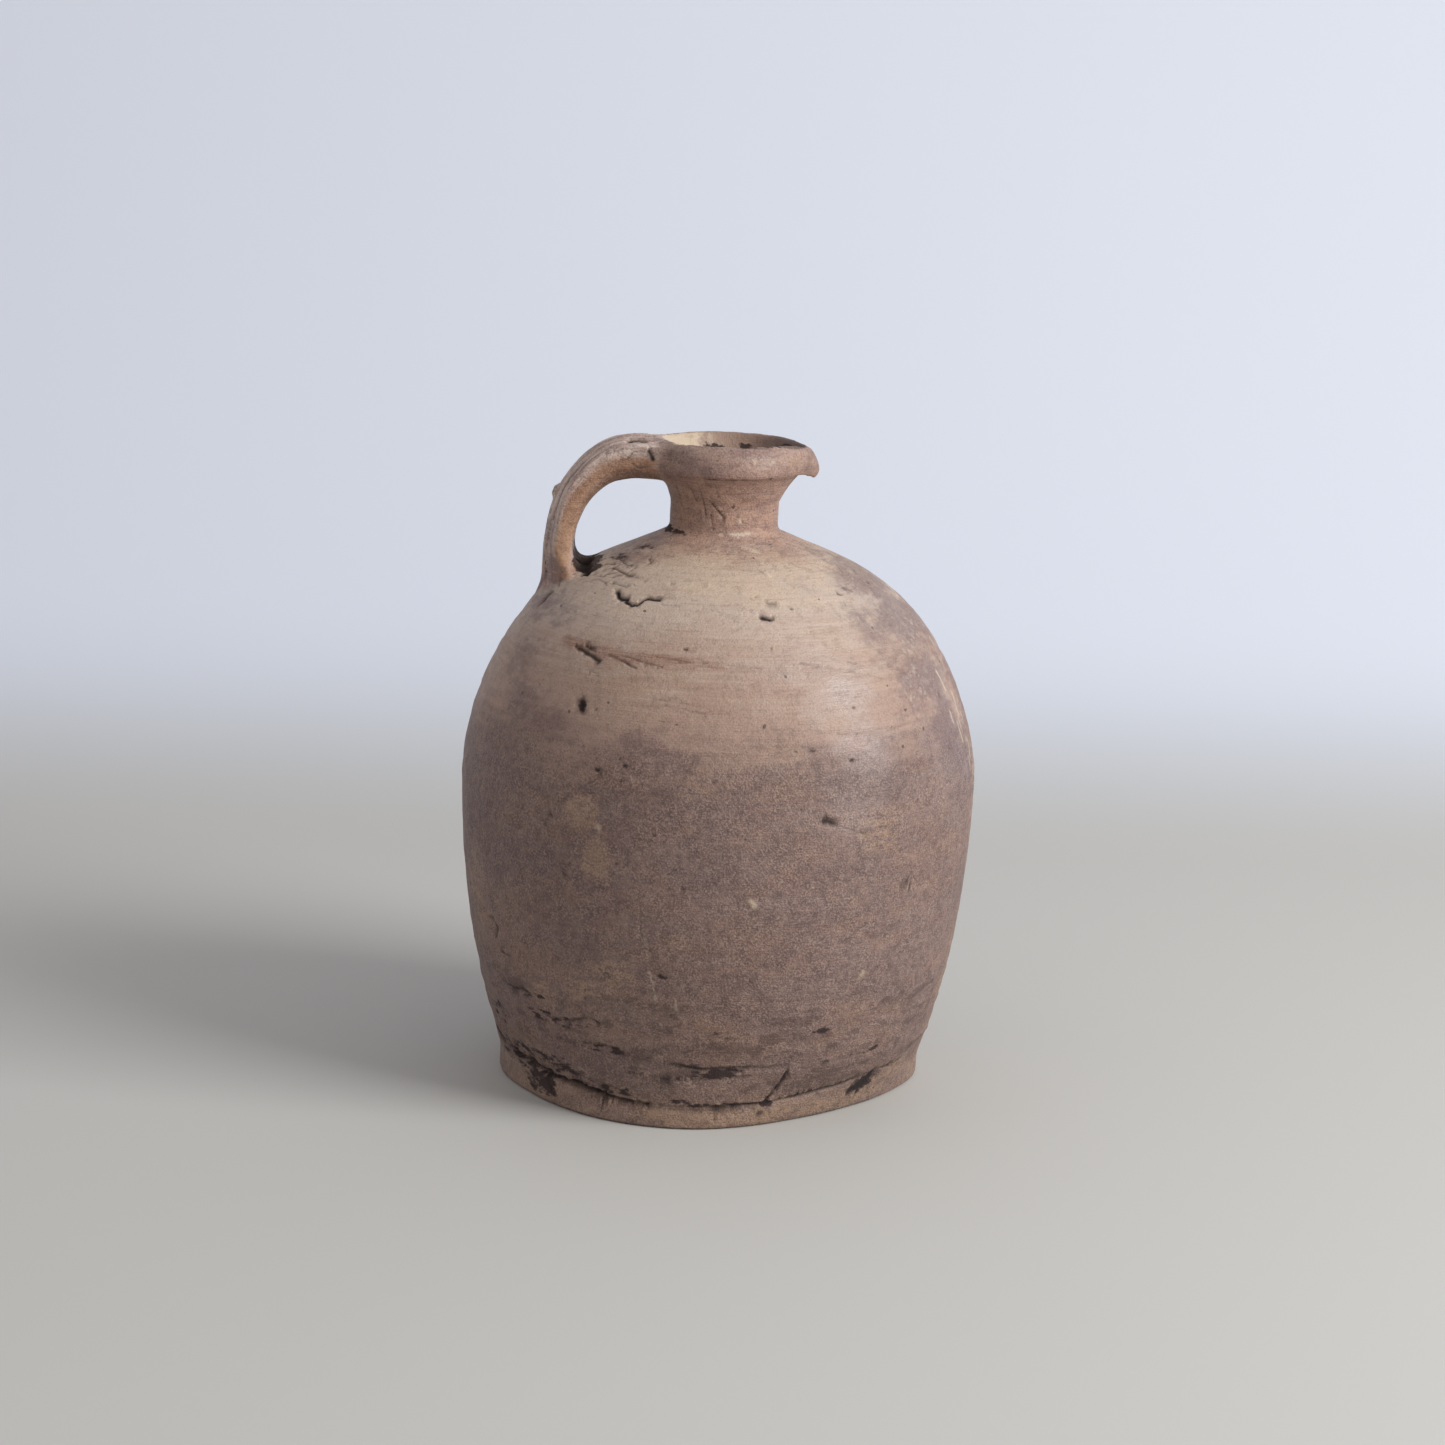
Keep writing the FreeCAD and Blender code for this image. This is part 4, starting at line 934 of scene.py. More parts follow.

# %% [markdown]
# ## Patches left by fire and hands, and painted light
# Flame, ash and soot reached each side of the pot in its own way. Some patches are painted light
# as well: the satin patches are a painted sheen, some frost patches are painted highlights, and
# some soot patches are painted shade. Every patch has a place, a size across and up, and a
# strength, and its edge is broken up by the same noise as the lumps.

# %% Patches painted as attributes
#         bearing height across tall strength
PATCHES = {
    # soot: the first two patches lie in the corner behind the strap's root, painted shade there with some
    # soot
    "soot_and_painted_shade": [(-176, 202, 7, 5, 1.2), (-159, 202.2, 4.5, 2.6, 1.3), (-168, 216.6, 6, 2.0, 0.7),
             (-144, 216.2, 6, 1.3, 0.7), (-134, 215.7, 4.4, 0.9, 0.6), (-84, 24, 24, 3, 0.34),
             (-152, 210, 12, 2.6, 0.3), (-160, 206.4, 10, 2.6, 0.34), (-150, 12, 30, 3.0, 0.4),
             (-142, 7.5, 11, 5, 0.75), (-164, 18, 14, 5, 0.5), (-132, 14.5, 24, 3.0, 0.4),
             (-112, 13, 18, 2.4, 0.4), (-141, 19, 24, 4.0, 0.5), (180, 12, 20, 3, 0.4),
             (-40.5, 11.5, 5.6, 4.6, 1.0), (-160, 30, 14, 6, 0.4), (-128, 38, 20, 3.0, 0.42),
             (-137, 45, 12, 3.0, 0.36), (-118, 30, 16, 2.4, 0.42), (-146, 60, 10, 4.0, 0.3),
             (-138, 6, 6, 4, 0.6), (150, 13, 24, 3, 0.3), (-96, 11, 12, 1.6, 0.5),
             (-74, 10, 3, 2, 0.9), (-88, 22, 14, 2.0, 0.5), (-124, 99.6, 4.6, 2.6, 0.42),
             (-45, 27, 10, 2.0, 0.5), (-124, 160, 2.6, 3.2, 0.9), (-62, 40, 12, 2.0, 0.4),
             (-102, 63, 9, 2.4, 0.4), (-86, 40, 10, 2.4, 0.4), (-70, 74, 10, 2.0, 0.3)],
    "purple": [(-144, 157, 18, 8, 0.8), (-133, 152, 16, 7, 0.8), (-108, 150, 12, 5, 0.8),
               (-115, 89, 16, 8, 0.6), (-126, 75, 22, 8, 0.6), (-95, 93, 14, 6, 0.4),
               (-107, 143, 20, 6, 0.6), (-160, 110, 30, 20, 0.6), (-150, 40, 26, 10, 0.5),
               (-85, 128, 22, 8, 0.4), (-70, 60, 26, 8, 0.3), (-118, 112, 16, 7, 0.4),
               (-100, 40, 20, 5, 0.35), (140, 120, 40, 24, 0.5), (110, 60, 40, 20, 0.4),
               (60, 140, 30, 14, 0.3), (-20, 136, 16, 20, 0.6), (-142, 207, 12, 5, 0.5),
               (-8, 184, 26, 18, 0.9), (-60, 138, 16, 5, 0.5), (-36, 178, 14, 10, 0.6),
               (0, 160, 30, 20, 0.8), (-34, 160, 18, 8, 0.6), (-14, 204, 14, 6, 0.8),
               (-145, 135, 18, 14, 0.5), (30, 190, 30, 16, 0.5), (-148, 188, 16, 9, 0.5),
               (-12, 201, 23, 12, 1.1), (-19, 186, 23, 16, 1.1), (-28, 168, 18, 14, 1.0),
               (-25, 150, 16, 16, 1.0), (-38, 187, 13, 10, 0.6), (-152, 172, 16, 14, 0.6),
               (-158, 208, 12, 5, 0.6), (-154, 212, 10, 3, 0.6), (-160, 188, 18, 10, 0.8),
               (-140, 32, 34, 13, 0.7), (-114, 24, 32, 9, 0.5)],
    "tan": [(-52, 116, 12, 12, 0.6), (-4, 108, 12, 50, 0.7), (-62, 158, 9, 10, 0.5),
            (-8, 40, 16, 30, 0.6), (-112, 170, 22, 5, 0.4), (24, 110, 34, 40, 0.5),
            (-75, 148, 12, 6, 0.5), (-120, 121, 8, 8, 1.0), (-116, 108, 7, 11, 1.0),
            (-112, 60, 10, 8, 0.5), (-60, 92, 12, 6, 0.3), (-85, 5, 40, 4, 0.8),
            (-50, 5, 30, 4, 0.8), (-134, 48, 10, 8, 0.6), (-143, 26, 12, 6, 0.6),
            (-122, 52, 12, 5, 0.5), (-158, 85, 10, 26, 0.5), (-30, 14, 14, 8, 0.6),
            (-92, 133, 14, 5, 0.4), (-98, 76, 12, 6, 0.4)],
    # frost: pale salt frost and specks; the white patches at heights 207 to 217 round the foot of the
    # neck, and those at bearings -10 and -12 on the right edge, are painted highlights
    "frost_and_painted_highlights": [(-40, 195, 18, 12, 0.45), (-24, 182, 18, 16, 0.4), (-12, 150, 9, 24, 0.5),
              (-58, 203, 12, 5, 0.7), (-86, 213, 8, 2.2, 0.9), (-70, 213, 8, 2.4, 0.9),
              (-68, 207, 6, 3, 0.9), (-95, 214, 6, 1.6, 0.6), (-10, 120, 6, 30, 0.5),
              (-75, 217, 5, 2.0, 0.9), (-160, 207, 9, 3.5, 0.3), (10, 180, 24, 20, 0.3),
              (-32, 162, 14, 10, 0.45), (-30, 205, 18, 5, 0.5)],
    # painted sheen: a whitish colour laid where the lamp's broad highlight falls; the same layer also
    # lowers the roughness
    "gloss_and_painted_sheen": [(-59, 165, 17, 13, 1.0), (-56, 148, 16, 20, 0.9), (-25, 150, 22, 30, 0.7),
              (-70, 176, 24, 10, 0.6), (-75, 214, 12, 3, 0.8), (-30, 190, 24, 14, 0.6),
              (-58, 124, 14, 14, 0.5)],
    "flame": [(-156, 190, 20, 13, 0.95), (-146, 168, 22, 10, 0.85), (-42, 196, 12, 6, 0.8),
              (-34, 187, 10, 5, 0.8), (-152, 182, 14, 9, 0.6), (-34, 193, 20, 9, 0.8),
              (-18, 207, 14, 5, 0.6), (-34, 182, 12, 8, 0.7), (-128, 178, 18, 6, 0.9),
              (-110, 179, 22, 2.6, 1.0), (-92, 178, 16, 2.2, 0.9), (-64, 176, 22, 2.4, 0.7),
              (-140, 192, 14, 9, 0.6), (-120, 168, 30, 6, 0.6), (-90, 160, 30, 5, 0.4),
              (-150, 175, 18, 12, 0.6), (170, 180, 50, 20, 0.6), (120, 170, 50, 14, 0.5),
              (-112, 88, 6, 9, 0.5), (-100, 205, 20, 3, 0.3), (-96, 226, 10, 8, 0.5)],
}
SPACE_PATCHES = {
    # frost: the first two patches are a painted highlight on the collar towards the beak; the rest are
    # pale edges of the rim and of the strap's top
    "frost_and_painted_highlights": [((12, -25.5, 245.4), 7, 2.6, 0.8), ((19, -21, 243), 5, 2.4, 0.5),
              ((-14, -24, 248.5), 7, 2.6, 0.4), ((-22, -14, 251), 5, 3, 0.5),
              ((-40, -4, 250.5), 9, 4, 0.35)],
    # soot: the first four patches darken the corner behind the strap's root, painted shade with some
    # soot; the four at heights 245.8 to 246 on the far inner wall of the mouth are painted shade in its
    # throat
    "soot_and_painted_shade": [((-54, -4, 204), 6.5, 5.5, 1.6), ((-52.5, -12, 203), 6.0, 4.5, 1.6),
             ((-52, -19, 200.8), 3.8, 2.6, 1.4), ((-55, 8, 204), 8, 6, 1.4),
             ((29, -8, 250.6), 6, 1.5, 0.6), ((18, -17, 251), 7, 1.2, 0.5),
             ((-6, 21, 245.8), 6, 1.3, 0.9), ((7.5, 20, 245.8), 4.5, 0.9, 0.8),
             ((-18, 13, 246.0), 3.0, 0.9, 0.7), ((22, 8, 246), 9, 3.0, 0.7)],
    "tan": [((34, -4, 243), 8, 6, 0.5), ((28, -14, 243), 6, 6, 0.5)],
    "flame": [((34, -4, 243), 9, 7, 1.2), ((26, -15, 246), 7, 4, 0.8),
              ((-30, -12, 245), 7, 4, 0.8)],
    "purple": [((-66, -4, 212), 7, 14, 0.5), ((-70, -10, 190), 10, 8, 0.6),
               ((-18, -20, 240), 9, 4, 0.5), ((-6, -24, 242), 14, 4, 0.5),
               ((10, -26, 249), 12, 2, 0.5), ((-16, -22, 246), 10, 3, 0.5),
               ((14, -16, 229), 9, 7, 0.4), ((32, -10, 241), 7, 3, 0.5),
               ((34, -4, 244), 8, 5, 0.45), ((-66, -12, 197), 9, 9, 0.7)],
}
brushed = corners * (0.45, 0.45, 1.0)
warp = 0.30 * lumps(brushed, 9.0, 51) + 0.20 * lumps(brushed, 4.0, 52) + 0.12 * lumps(corners, 2.4, 53)
layers = {"inside": inside, "dark": dark, "pale_marks_and_painted_glints": pale_marks_and_painted_glints, "torn": scraped * eased(torn, 0.05, 0.75)}
# towards the beak the red ring fades over these bearings, by this share
RING_FADE, RING_FADED = (-108, -84), 0.75
near, gap = distance_to(RED_RING, corners, normals, 2 * RING_WIDTH)
bearing = np.degrees(np.arctan2(corners[near, 1], corners[near, 0]))
band = np.clip(1.3 - (gap + 2.0 * warp[near]) / RING_WIDTH, 0, 1)
layers["ring"] = np.zeros(len(corners))
layers["ring"][near] = band * (1 - RING_FADED * eased(bearing, *RING_FADE))
for layer, patches in PATCHES.items():
    total = np.zeros(len(corners))
    spots = [(on_pot((bearing, height))[0], across, tall, strength)
             for bearing, height, across, tall, strength in patches]
    spots += [(np.array(place, float), across, tall, strength)
              for place, across, tall, strength in SPACE_PATCHES.get(layer, [])]
    for place, across, tall, strength in spots:
        gap = corners - place
        level = np.hypot(gap[:, 0], gap[:, 1])
        spread = np.sqrt((level / across) ** 2 + (gap[:, 2] / tall) ** 2) + warp
        total = np.maximum(total, strength * (1 - eased(spread, 0.35, 1.3)))
    layers[layer] = total * (1 if layer == "soot_and_painted_shade" else outside)
print("layers:", ", ".join(layers))

# %% [markdown]
# ## Places on the strap
# The streaks on the strap run along its path, its flank has a colour of its own, and the inner
# face high on the arch is painted darker as shade. So each corner near the strap learns how far
# along the path it stands and how deep through the strap, from the nearest point of the path.
# The material draws its noise out with both.

# %% Run and depth along the strap
# steps of the path that are left out at its start, inside the collar
PATH_START = 6
# the strap lies this near its path, this far out of the pot, and behind this place
STRAP_NEAR, STRAP_CLEAR, STRAP_BEHIND = (12, 17), (0.4, 3.0), -24
FLANK_FACING, FLANK_DEPTH = (0.45, 0.75), (0.0, 2.0)
UNDER_SHADE_DEPTH, UNDER_SHADE_HEIGHT = (2.5, 6.0), (214, 234)
path = smooth(STRAP, STRAP_STEPS)[PATH_START:, :2]
along = np.gradient(path, axis=0)
along /= np.linalg.norm(along, axis=1)[:, None]
nearest = np.full(len(corners), FAR)
through = np.zeros(len(corners))
run = np.zeros(len(corners))
lengths = np.concatenate([[0], np.cumsum(np.linalg.norm(np.diff(path, axis=0), axis=1))])
for length, (out, up), (run_out, run_up) in zip(lengths, path, along):
    gap_out, gap_up = corners[:, 0] - out, corners[:, 2] - up
    distance = np.hypot(gap_out, gap_up)
    closer = distance < nearest
    nearest[closer] = distance[closer]
    through[closer] = (gap_out * run_up - gap_up * run_out)[closer]
    run[closer] = (length + gap_out * run_out + gap_up * run_up)[closer]
off_pot = np.hypot(true_corners[:, 0], true_corners[:, 1]) - pot_radius(true_corners[:, 2])
strap_share = (1 - eased(nearest, *STRAP_NEAR)) * eased(off_pot, *STRAP_CLEAR)
layers["strap"] = strap_share * (corners[:, 0] < STRAP_BEHIND) * outside
facing = eased(np.abs(normals[:, 1]), *FLANK_FACING)
layers["flank"] = layers["strap"] * facing * (1 - eased(through, *FLANK_DEPTH))
# painted shade: the deep inner face high on the arch, where shade falls under the strap
deep = eased(-through, *UNDER_SHADE_DEPTH)
layers["under"] = layers["strap"] * deep * eased(corners[:, 2], *UNDER_SHADE_HEIGHT)
for layer, values in layers.items():
    attribute = mesh.attributes.new(layer, "FLOAT", "POINT")
    attribute.data.foreach_set("value", np.clip(values, 0, 1).astype(np.float32))
for name, values in (("strap_run", run), ("strap_depth", through)):
    attribute = mesh.attributes.new(name, "FLOAT", "POINT")
    attribute.data.foreach_set("value", values.astype(np.float32))
print("painted:", {layer: round(float(values.mean()), 3) for layer, values in layers.items()})

# %% Finish the mesh
mesh.name = "oil_jug"
mesh.shade_smooth()
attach(jug, "root")
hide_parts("jug")
print("jug:", len(mesh.polygons), "triangles")

# %% [markdown]
# ## Shared effects of the skin
# These are node groups because the material uses each of them more than once, with other values.
# "streaks" is noise drawn out round the pot, like throwing and wiping marks. "specks" gives small
# separate spots. "blotches" is soft noise pulled to more contrast.

# %% Groups for streaks, specks and blotches


def group_use(tree, group, **values):
    """A group node with its inputs set or linked by name; an underscore stands for a space."""
    node = add(tree, "ShaderNodeGroup", node_tree=group)
    for name, value in values.items():
        socket = node.inputs[name.replace("_", " ")]
        if isinstance(value, bpy.types.NodeSocket):
            tree.links.new(value, socket)
        else:
            socket.default_value = value
    return node.outputs[0]


def contrast(tree, value, low, high):
    """Stretches a value so that low becomes 0 and high becomes 1, smoothly."""
    node = add(tree, "ShaderNodeMapRange", {0: value, 1: low, 2: high}, interpolation_type="SMOOTHSTEP")
    return node.outputs[0]


def streaks_group():
    """Noise that is long round the pot and short up it."""
    tree, given, result = new_tree("streaks", "ShaderNodeTree", [
        ("Position", "NodeSocketVector"), ("Length", "NodeSocketFloat", 30.0),
        ("Height", "NodeSocketFloat", 1.5), ("Low", "NodeSocketFloat", 0.35),
        ("High", "NodeSocketFloat", 0.65)], [("Mask", "NodeSocketFloat")])
    size = add(tree, "ShaderNodeCombineXYZ", {0: given["Length"], 1: given["Length"], 2: given["Height"]})
    place = vectors(tree, "DIVIDE", given["Position"], size.outputs[0])
    noise = add(tree, "ShaderNodeTexNoise", {"Vector": place, "Scale": 1.0, "Detail": 3.0,
                                             "Roughness": 0.6})
    tree.links.new(contrast(tree, noise.outputs[0], given["Low"], given["High"]), result["Mask"])
    return tree


def blotches_group():
    """Soft noise with lumps of one size, pulled to more contrast."""
    tree, given, result = new_tree("blotches", "ShaderNodeTree", [
        ("Position", "NodeSocketVector"), ("Size", "NodeSocketFloat", 12.0),
        ("Detail", "NodeSocketFloat", 4.0), ("Low", "NodeSocketFloat", 0.35),
        ("High", "NodeSocketFloat", 0.65)], [("Mask", "NodeSocketFloat")])
    place = vectors(tree, "DIVIDE", given["Position"], add(tree, "ShaderNodeCombineXYZ", {
        0: given["Size"], 1: given["Size"], 2: given["Size"]}).outputs[0])
    noise = add(tree, "ShaderNodeTexNoise", {"Vector": place, "Scale": 1.0, "Detail": given["Detail"],
                                             "Roughness": 0.62})
    tree.links.new(contrast(tree, noise.outputs[0], given["Low"], given["High"]), result["Mask"])
    return tree


def specks_group():
    """Separate spots of a size, as a share of the cells that they stand in."""
    tree, given, result = new_tree("specks", "ShaderNodeTree", [
        ("Position", "NodeSocketVector"), ("Cell", "NodeSocketFloat", 4.0),
        ("Size", "NodeSocketFloat", 0.2), ("Share", "NodeSocketFloat", 0.5)],
        [("Mask", "NodeSocketFloat")])
    place = vectors(tree, "DIVIDE", given["Position"], add(tree, "ShaderNodeCombineXYZ", {
        0: given["Cell"], 1: given["Cell"], 2: given["Cell"]}).outputs[0])
    bent = add(tree, "ShaderNodeTexNoise", {"Vector": place, "Scale": 3.0, "Detail": 1.0},
               noise_dimensions="3D")
    shift = vectors(tree, "MULTIPLY", bent.outputs["Color"], (0.25, 0.25, 0.25))
    bent_place = vectors(tree, "ADD", place, shift)
    cells = add(tree, "ShaderNodeTexVoronoi", {"Vector": bent_place, "Scale": 1.0})
    chance = add(tree, "ShaderNodeSeparateColor", {0: cells.outputs["Color"]})
    keep = maths(tree, "LESS_THAN", chance.outputs[0], given["Share"])
    size = maths(tree, "MULTIPLY", given["Size"], maths(tree, "ADD", 0.4, chance.outputs[1]))
    off_centre = maths(tree, "DIVIDE", cells.outputs["Distance"], size)
    spot = maths(tree, "SUBTRACT", 1.0, off_centre, clamp=True)
    soft = maths(tree, "MULTIPLY", contrast(tree, spot, 0.0, 0.45), keep)
    tree.links.new(soft, result["Mask"])
    return tree


STREAKS, BLOTCHES, SPECKS = streaks_group(), blotches_group(), specks_group()
print("shared effects:", STREAKS.name, BLOTCHES.name, SPECKS.name)

# %% [markdown]
# ## Fired stoneware
# Salt and flame coloured the pot in zones: a pale foot that stood in sand, a mauve brown body, a
# band of orange where the flame turned, a pale ochre shoulder, and a red-brown neck. The zones
# follow the height, with their edges broken by noise. Patches, marks and specks lie over them.

# %% Material
stoneware.use_nodes = True
tree = stoneware.node_tree
shader = tree.nodes["Principled BSDF"]
coordinates = add(tree, "ShaderNodeTexCoord").outputs["Object"]
place = add(tree, "ShaderNodeVectorMath", {0: coordinates, 3: 1 / MM}, operation="SCALE").outputs[0]


def paint(red, green, blue):
    """Colour given as it looks on screen, from 0 to 255."""
    values = [v / 255 for v in (red, green, blue)]
    return tuple(v / 12.92 if v <= 0.04045 else ((v + 0.055) / 1.055) ** 2.4 for v in values) + (1.0,)


def layer(name):
    """One of the painted attributes of the jug, as a socket."""
    return add(tree, "ShaderNodeAttribute", attribute_name=name).outputs["Fac"]


def over(colour, share, top, mode="MIX"):
    """One colour laid over another by a mask."""
    node = add(tree, "ShaderNodeMix", {0: share, 6: colour, 7: top}, data_type="RGBA", blend_type=mode)
    return node.outputs[2]


def times(*values):
    """Product of numbers and sockets."""
    result = values[0]
    for value in values[1:]:
        result = maths(tree, "MULTIPLY", result, value)
    return result


def shifted(where, *by):
    """A place moved by some mm, so that two noises of one kind differ."""
    return vectors(tree, "ADD", where, by)


def ramp(value, low, high, stops):
    """Colours at heights, blended between them."""
    share = add(tree, "ShaderNodeMapRange", {0: value, 1: low, 2: high}).outputs[0]
    node = add(tree, "ShaderNodeValToRGB", {0: share})
    band = node.color_ramp
    while len(band.elements) < len(stops):
        band.elements.new(0.5)
    for element, (height, colour) in zip(band.elements, stops):
        element.position = (height - low) / (high - low)
        element.color = paint(*colour)
    return node.outputs[0]


height = add(tree, "ShaderNodeSeparateXYZ", {0: place}).outputs["Z"]
flat = vectors(tree, "MULTIPLY", place, (0.4, 0.4, 1.0))
wide_noise = group_use(tree, BLOTCHES, Position=flat, Size=14.0, Low=0.2, High=0.8)
small_noise = group_use(tree, BLOTCHES, Position=place, Size=5.0, Low=0.25, High=0.75)
line_noise = group_use(tree, STREAKS, Position=place, Length=34.0, Height=2.4, Low=0.25, High=0.75)
sway = maths(tree, "ADD", times(maths(tree, "SUBTRACT", wide_noise, 0.5), 12.0),
             maths(tree, "ADD", times(maths(tree, "SUBTRACT", small_noise, 0.5), 3.0),
                   times(maths(tree, "SUBTRACT", line_noise, 0.5), 8.0)))
above_foot = contrast(tree, height, 12.0, 30.0)
below_neck = maths(tree, "SUBTRACT", 1.0, contrast(tree, height, 204.0, 214.0))
zone = maths(tree, "ADD", height, times(sway, above_foot, below_neck))
ZONES = [(0, (160, 133, 116)), (9, (154, 127, 110)), (13, (119, 96, 86)), (30, (129, 105, 95)),
         (62, (125, 102, 95)), (100, (125, 102, 96)), (128, (127, 104, 97)), (143, (144, 119, 107)),
         (156, (164, 136, 121)), (170, (167, 139, 123)), (182, (179, 154, 138)), (194, (194, 175, 160)),
         (206, (202, 180, 158)), (214, (182, 150, 130)), (219, (170, 134, 115)), (233, (170, 136, 118)),
         (240, (162, 130, 117)), (252, (166, 140, 127))]
body = ramp(zone, 0.0, 252.0, ZONES)

mauve = group_use(tree, BLOTCHES, Position=flat, Size=9.0, Low=0.42, High=0.68)
grey = group_use(tree, BLOTCHES, Position=shifted(flat, 40, 10, 90), Size=6.0, Low=0.45, High=0.70)
rust = group_use(tree, BLOTCHES, Position=shifted(flat, 90, 40, 10), Size=7.0, Low=0.50, High=0.75)
streaky = group_use(tree, STREAKS, Position=place, Length=38.0, Height=1.3, Low=0.42, High=0.72)
streaky_dark = group_use(tree, STREAKS, Position=shifted(place, 7, 60, 20), Length=22.0,
                         Height=0.9, Low=0.50, High=0.80)
mottle = group_use(tree, BLOTCHES, Position=place, Size=3.4, Detail=6.0, Low=0.32, High=0.68)
low_body = maths(tree, "SUBTRACT", 1.0, contrast(tree, zone, 135.0, 156.0))
shoulder = times(contrast(tree, zone, 150.0, 172.0), below_neck)
above_neck = maths(tree, "SUBTRACT", 1.0, below_neck)
island = group_use(tree, BLOTCHES, Position=shifted(flat, 15, 55, 35), Size=22.0, Detail=5.0,
                   Low=0.42, High=0.60)
clouds = group_use(tree, BLOTCHES, Position=shifted(flat, 60, 20, 45), Size=26.0, Detail=3.0,
                   Low=0.42, High=0.60)
body = over(body, times(clouds, low_body, 0.40), paint(92, 70, 70))
body = over(body, times(island, low_body, 0.30), paint(146, 112, 90))
body = over(body, times(mauve, low_body, 0.45), paint(101, 79, 79))
body = over(body, times(grey, low_body, 0.30), paint(142, 121, 112))
body = over(body, times(rust, low_body, 0.45), paint(140, 107, 87))
body = over(body, times(grey, shoulder, 0.40), paint(188, 170, 156))
body = over(body, times(rust, shoulder, 0.35), paint(168, 136, 112))
body = over(body, times(streaky, shoulder, 0.38), paint(194, 174, 154))
body = over(body, times(streaky_dark, shoulder, 0.36), paint(140, 108, 91))
body = over(body, times(streaky, low_body, 0.15), paint(142, 120, 110))
body = over(body, times(streaky_dark, low_body, 0.30), paint(88, 68, 64))
body = over(body, times(grey, above_neck, 0.5), paint(126, 98, 90))
body = over(body, times(rust, above_neck, 0.4), paint(172, 146, 130))
neck_stain = group_use(tree, BLOTCHES, Position=shifted(place, 5, 25, 60), Size=3.6, Detail=6.0,
                       Low=0.48, High=0.66)
neck_lines = group_use(tree, STREAKS, Position=shifted(place, 25, 5, 40), Length=12.0,
                       Height=0.7, Low=0.52, High=0.70)
body = over(body, times(neck_stain, above_neck, 0.28), paint(116, 88, 79))
body = over(body, times(neck_lines, above_neck, 0.45), paint(104, 78, 70))

edge_noise = group_use(tree, BLOTCHES, Position=place, Size=3.0, Low=0.38, High=0.60)
ragged_noise = group_use(tree, BLOTCHES, Position=shifted(flat, 20, 70, 5), Size=2.6, Detail=6.0,
                         Low=0.34, High=0.66)


def broken(mask, low=0.28, high=0.62):
    """Soft mask whose edge is torn by fine noise, as stains on rough clay are."""
    reach = maths(tree, "MULTIPLY", mask, 3.0, clamp=True)
    shift = times(maths(tree, "SUBTRACT", ragged_noise, 0.5), reach, 0.8)
    return contrast(tree, maths(tree, "ADD", mask, shift), low, high)


# painted highlight: the lamp's sheen laid on as a whitish colour, broken by noise
painted_sheen_share = times(layer("gloss_and_painted_sheen"), maths(tree, "ADD", 0.20, times(ragged_noise, 0.25)))
body = over(body, painted_sheen_share, paint(172, 158, 156))
body = over(body, times(broken(layer("tan"), 0.10, 0.90), 0.55), paint(166, 136, 110))
purple = layer("purple")
purple_share = maths(tree, "ADD", times(broken(purple, 0.05, 0.95), 0.40), times(purple, 0.28))
body = over(body, purple_share, paint(107, 83, 82))
flame_share = maths(tree, "ADD", 0.30, times(edge_noise, 0.35))
body = over(body, times(broken(layer("flame"), 0.10, 0.95), flame_share), paint(142, 100, 79))
ring_scratches = group_use(tree, STREAKS, Position=place, Length=9.0, Height=0.8, Low=0.45, High=0.62)
ring = layer("ring")
body = over(body, times(broken(ring, 0.15, 0.85), 0.50), paint(146, 106, 88))
body = over(body, times(ring, ring_scratches, 0.55), paint(108, 66, 50))
above_arch = contrast(tree, height, 212.0, 236.0)
# size of the strap's streaks in mm: along it, across it and through it
STREAK_LONG, STREAK_WIDE, STREAK_DEEP = 22, 1.6, 2.2
strap_sides = add(tree, "ShaderNodeSeparateXYZ", {0: place}).outputs["Y"]
strap_place = add(tree, "ShaderNodeCombineXYZ", {
    0: times(layer("strap_run"), 1 / STREAK_LONG), 1: times(strap_sides, 1 / STREAK_WIDE),
    2: times(layer("strap_depth"), 1 / STREAK_DEEP)}).outputs[0]
strap_noise = add(tree, "ShaderNodeTexNoise", {"Vector": strap_place, "Scale": 1.0, "Detail": 4.0,
                                               "Roughness": 0.6})
strap_lines = contrast(tree, strap_noise.outputs[0], 0.40, 0.60)
strap_grooves = contrast(tree, strap_noise.outputs[0], 0.58, 0.70)
strap_colour = over(paint(218, 198, 186), strap_lines, paint(172, 146, 136))
strap_colour = over(strap_colour, times(strap_grooves, 0.65), paint(98, 76, 71))
strap_low = contrast(tree, height, 218.0, 197.0)
low_colour = over(paint(168, 134, 122), strap_lines, paint(146, 110, 101))
strap_colour = over(strap_colour, times(strap_low, 0.85), low_colour)
flank_colour = over(paint(182, 142, 108), above_arch, paint(162, 119, 91))
flank_colour = over(flank_colour, small_noise, paint(150, 110, 82))
body = over(body, times(layer("strap"), 0.85), strap_colour)
body = over(body, times(layer("flank"), 0.90), flank_colour)
# painted shade under the arch of the strap
body = over(body, times(layer("under"), 0.60), paint(100, 77, 70))
body = over(body, times(broken(times(purple, layer("strap"))), 0.5), paint(104, 82, 82))

pale_specks = group_use(tree, SPECKS, Position=place, Cell=3.4, Size=0.42, Share=0.55)
fine_specks = group_use(tree, SPECKS, Position=shifted(place, 31, 7, 3),
                        Cell=1.7, Size=0.40, Share=0.30)
dark_specks = group_use(tree, SPECKS, Position=shifted(place, 3, 77, 13),
                        Cell=6.5, Size=0.12, Share=0.40)
frost_and_painted_highlights = layer("frost_and_painted_highlights")
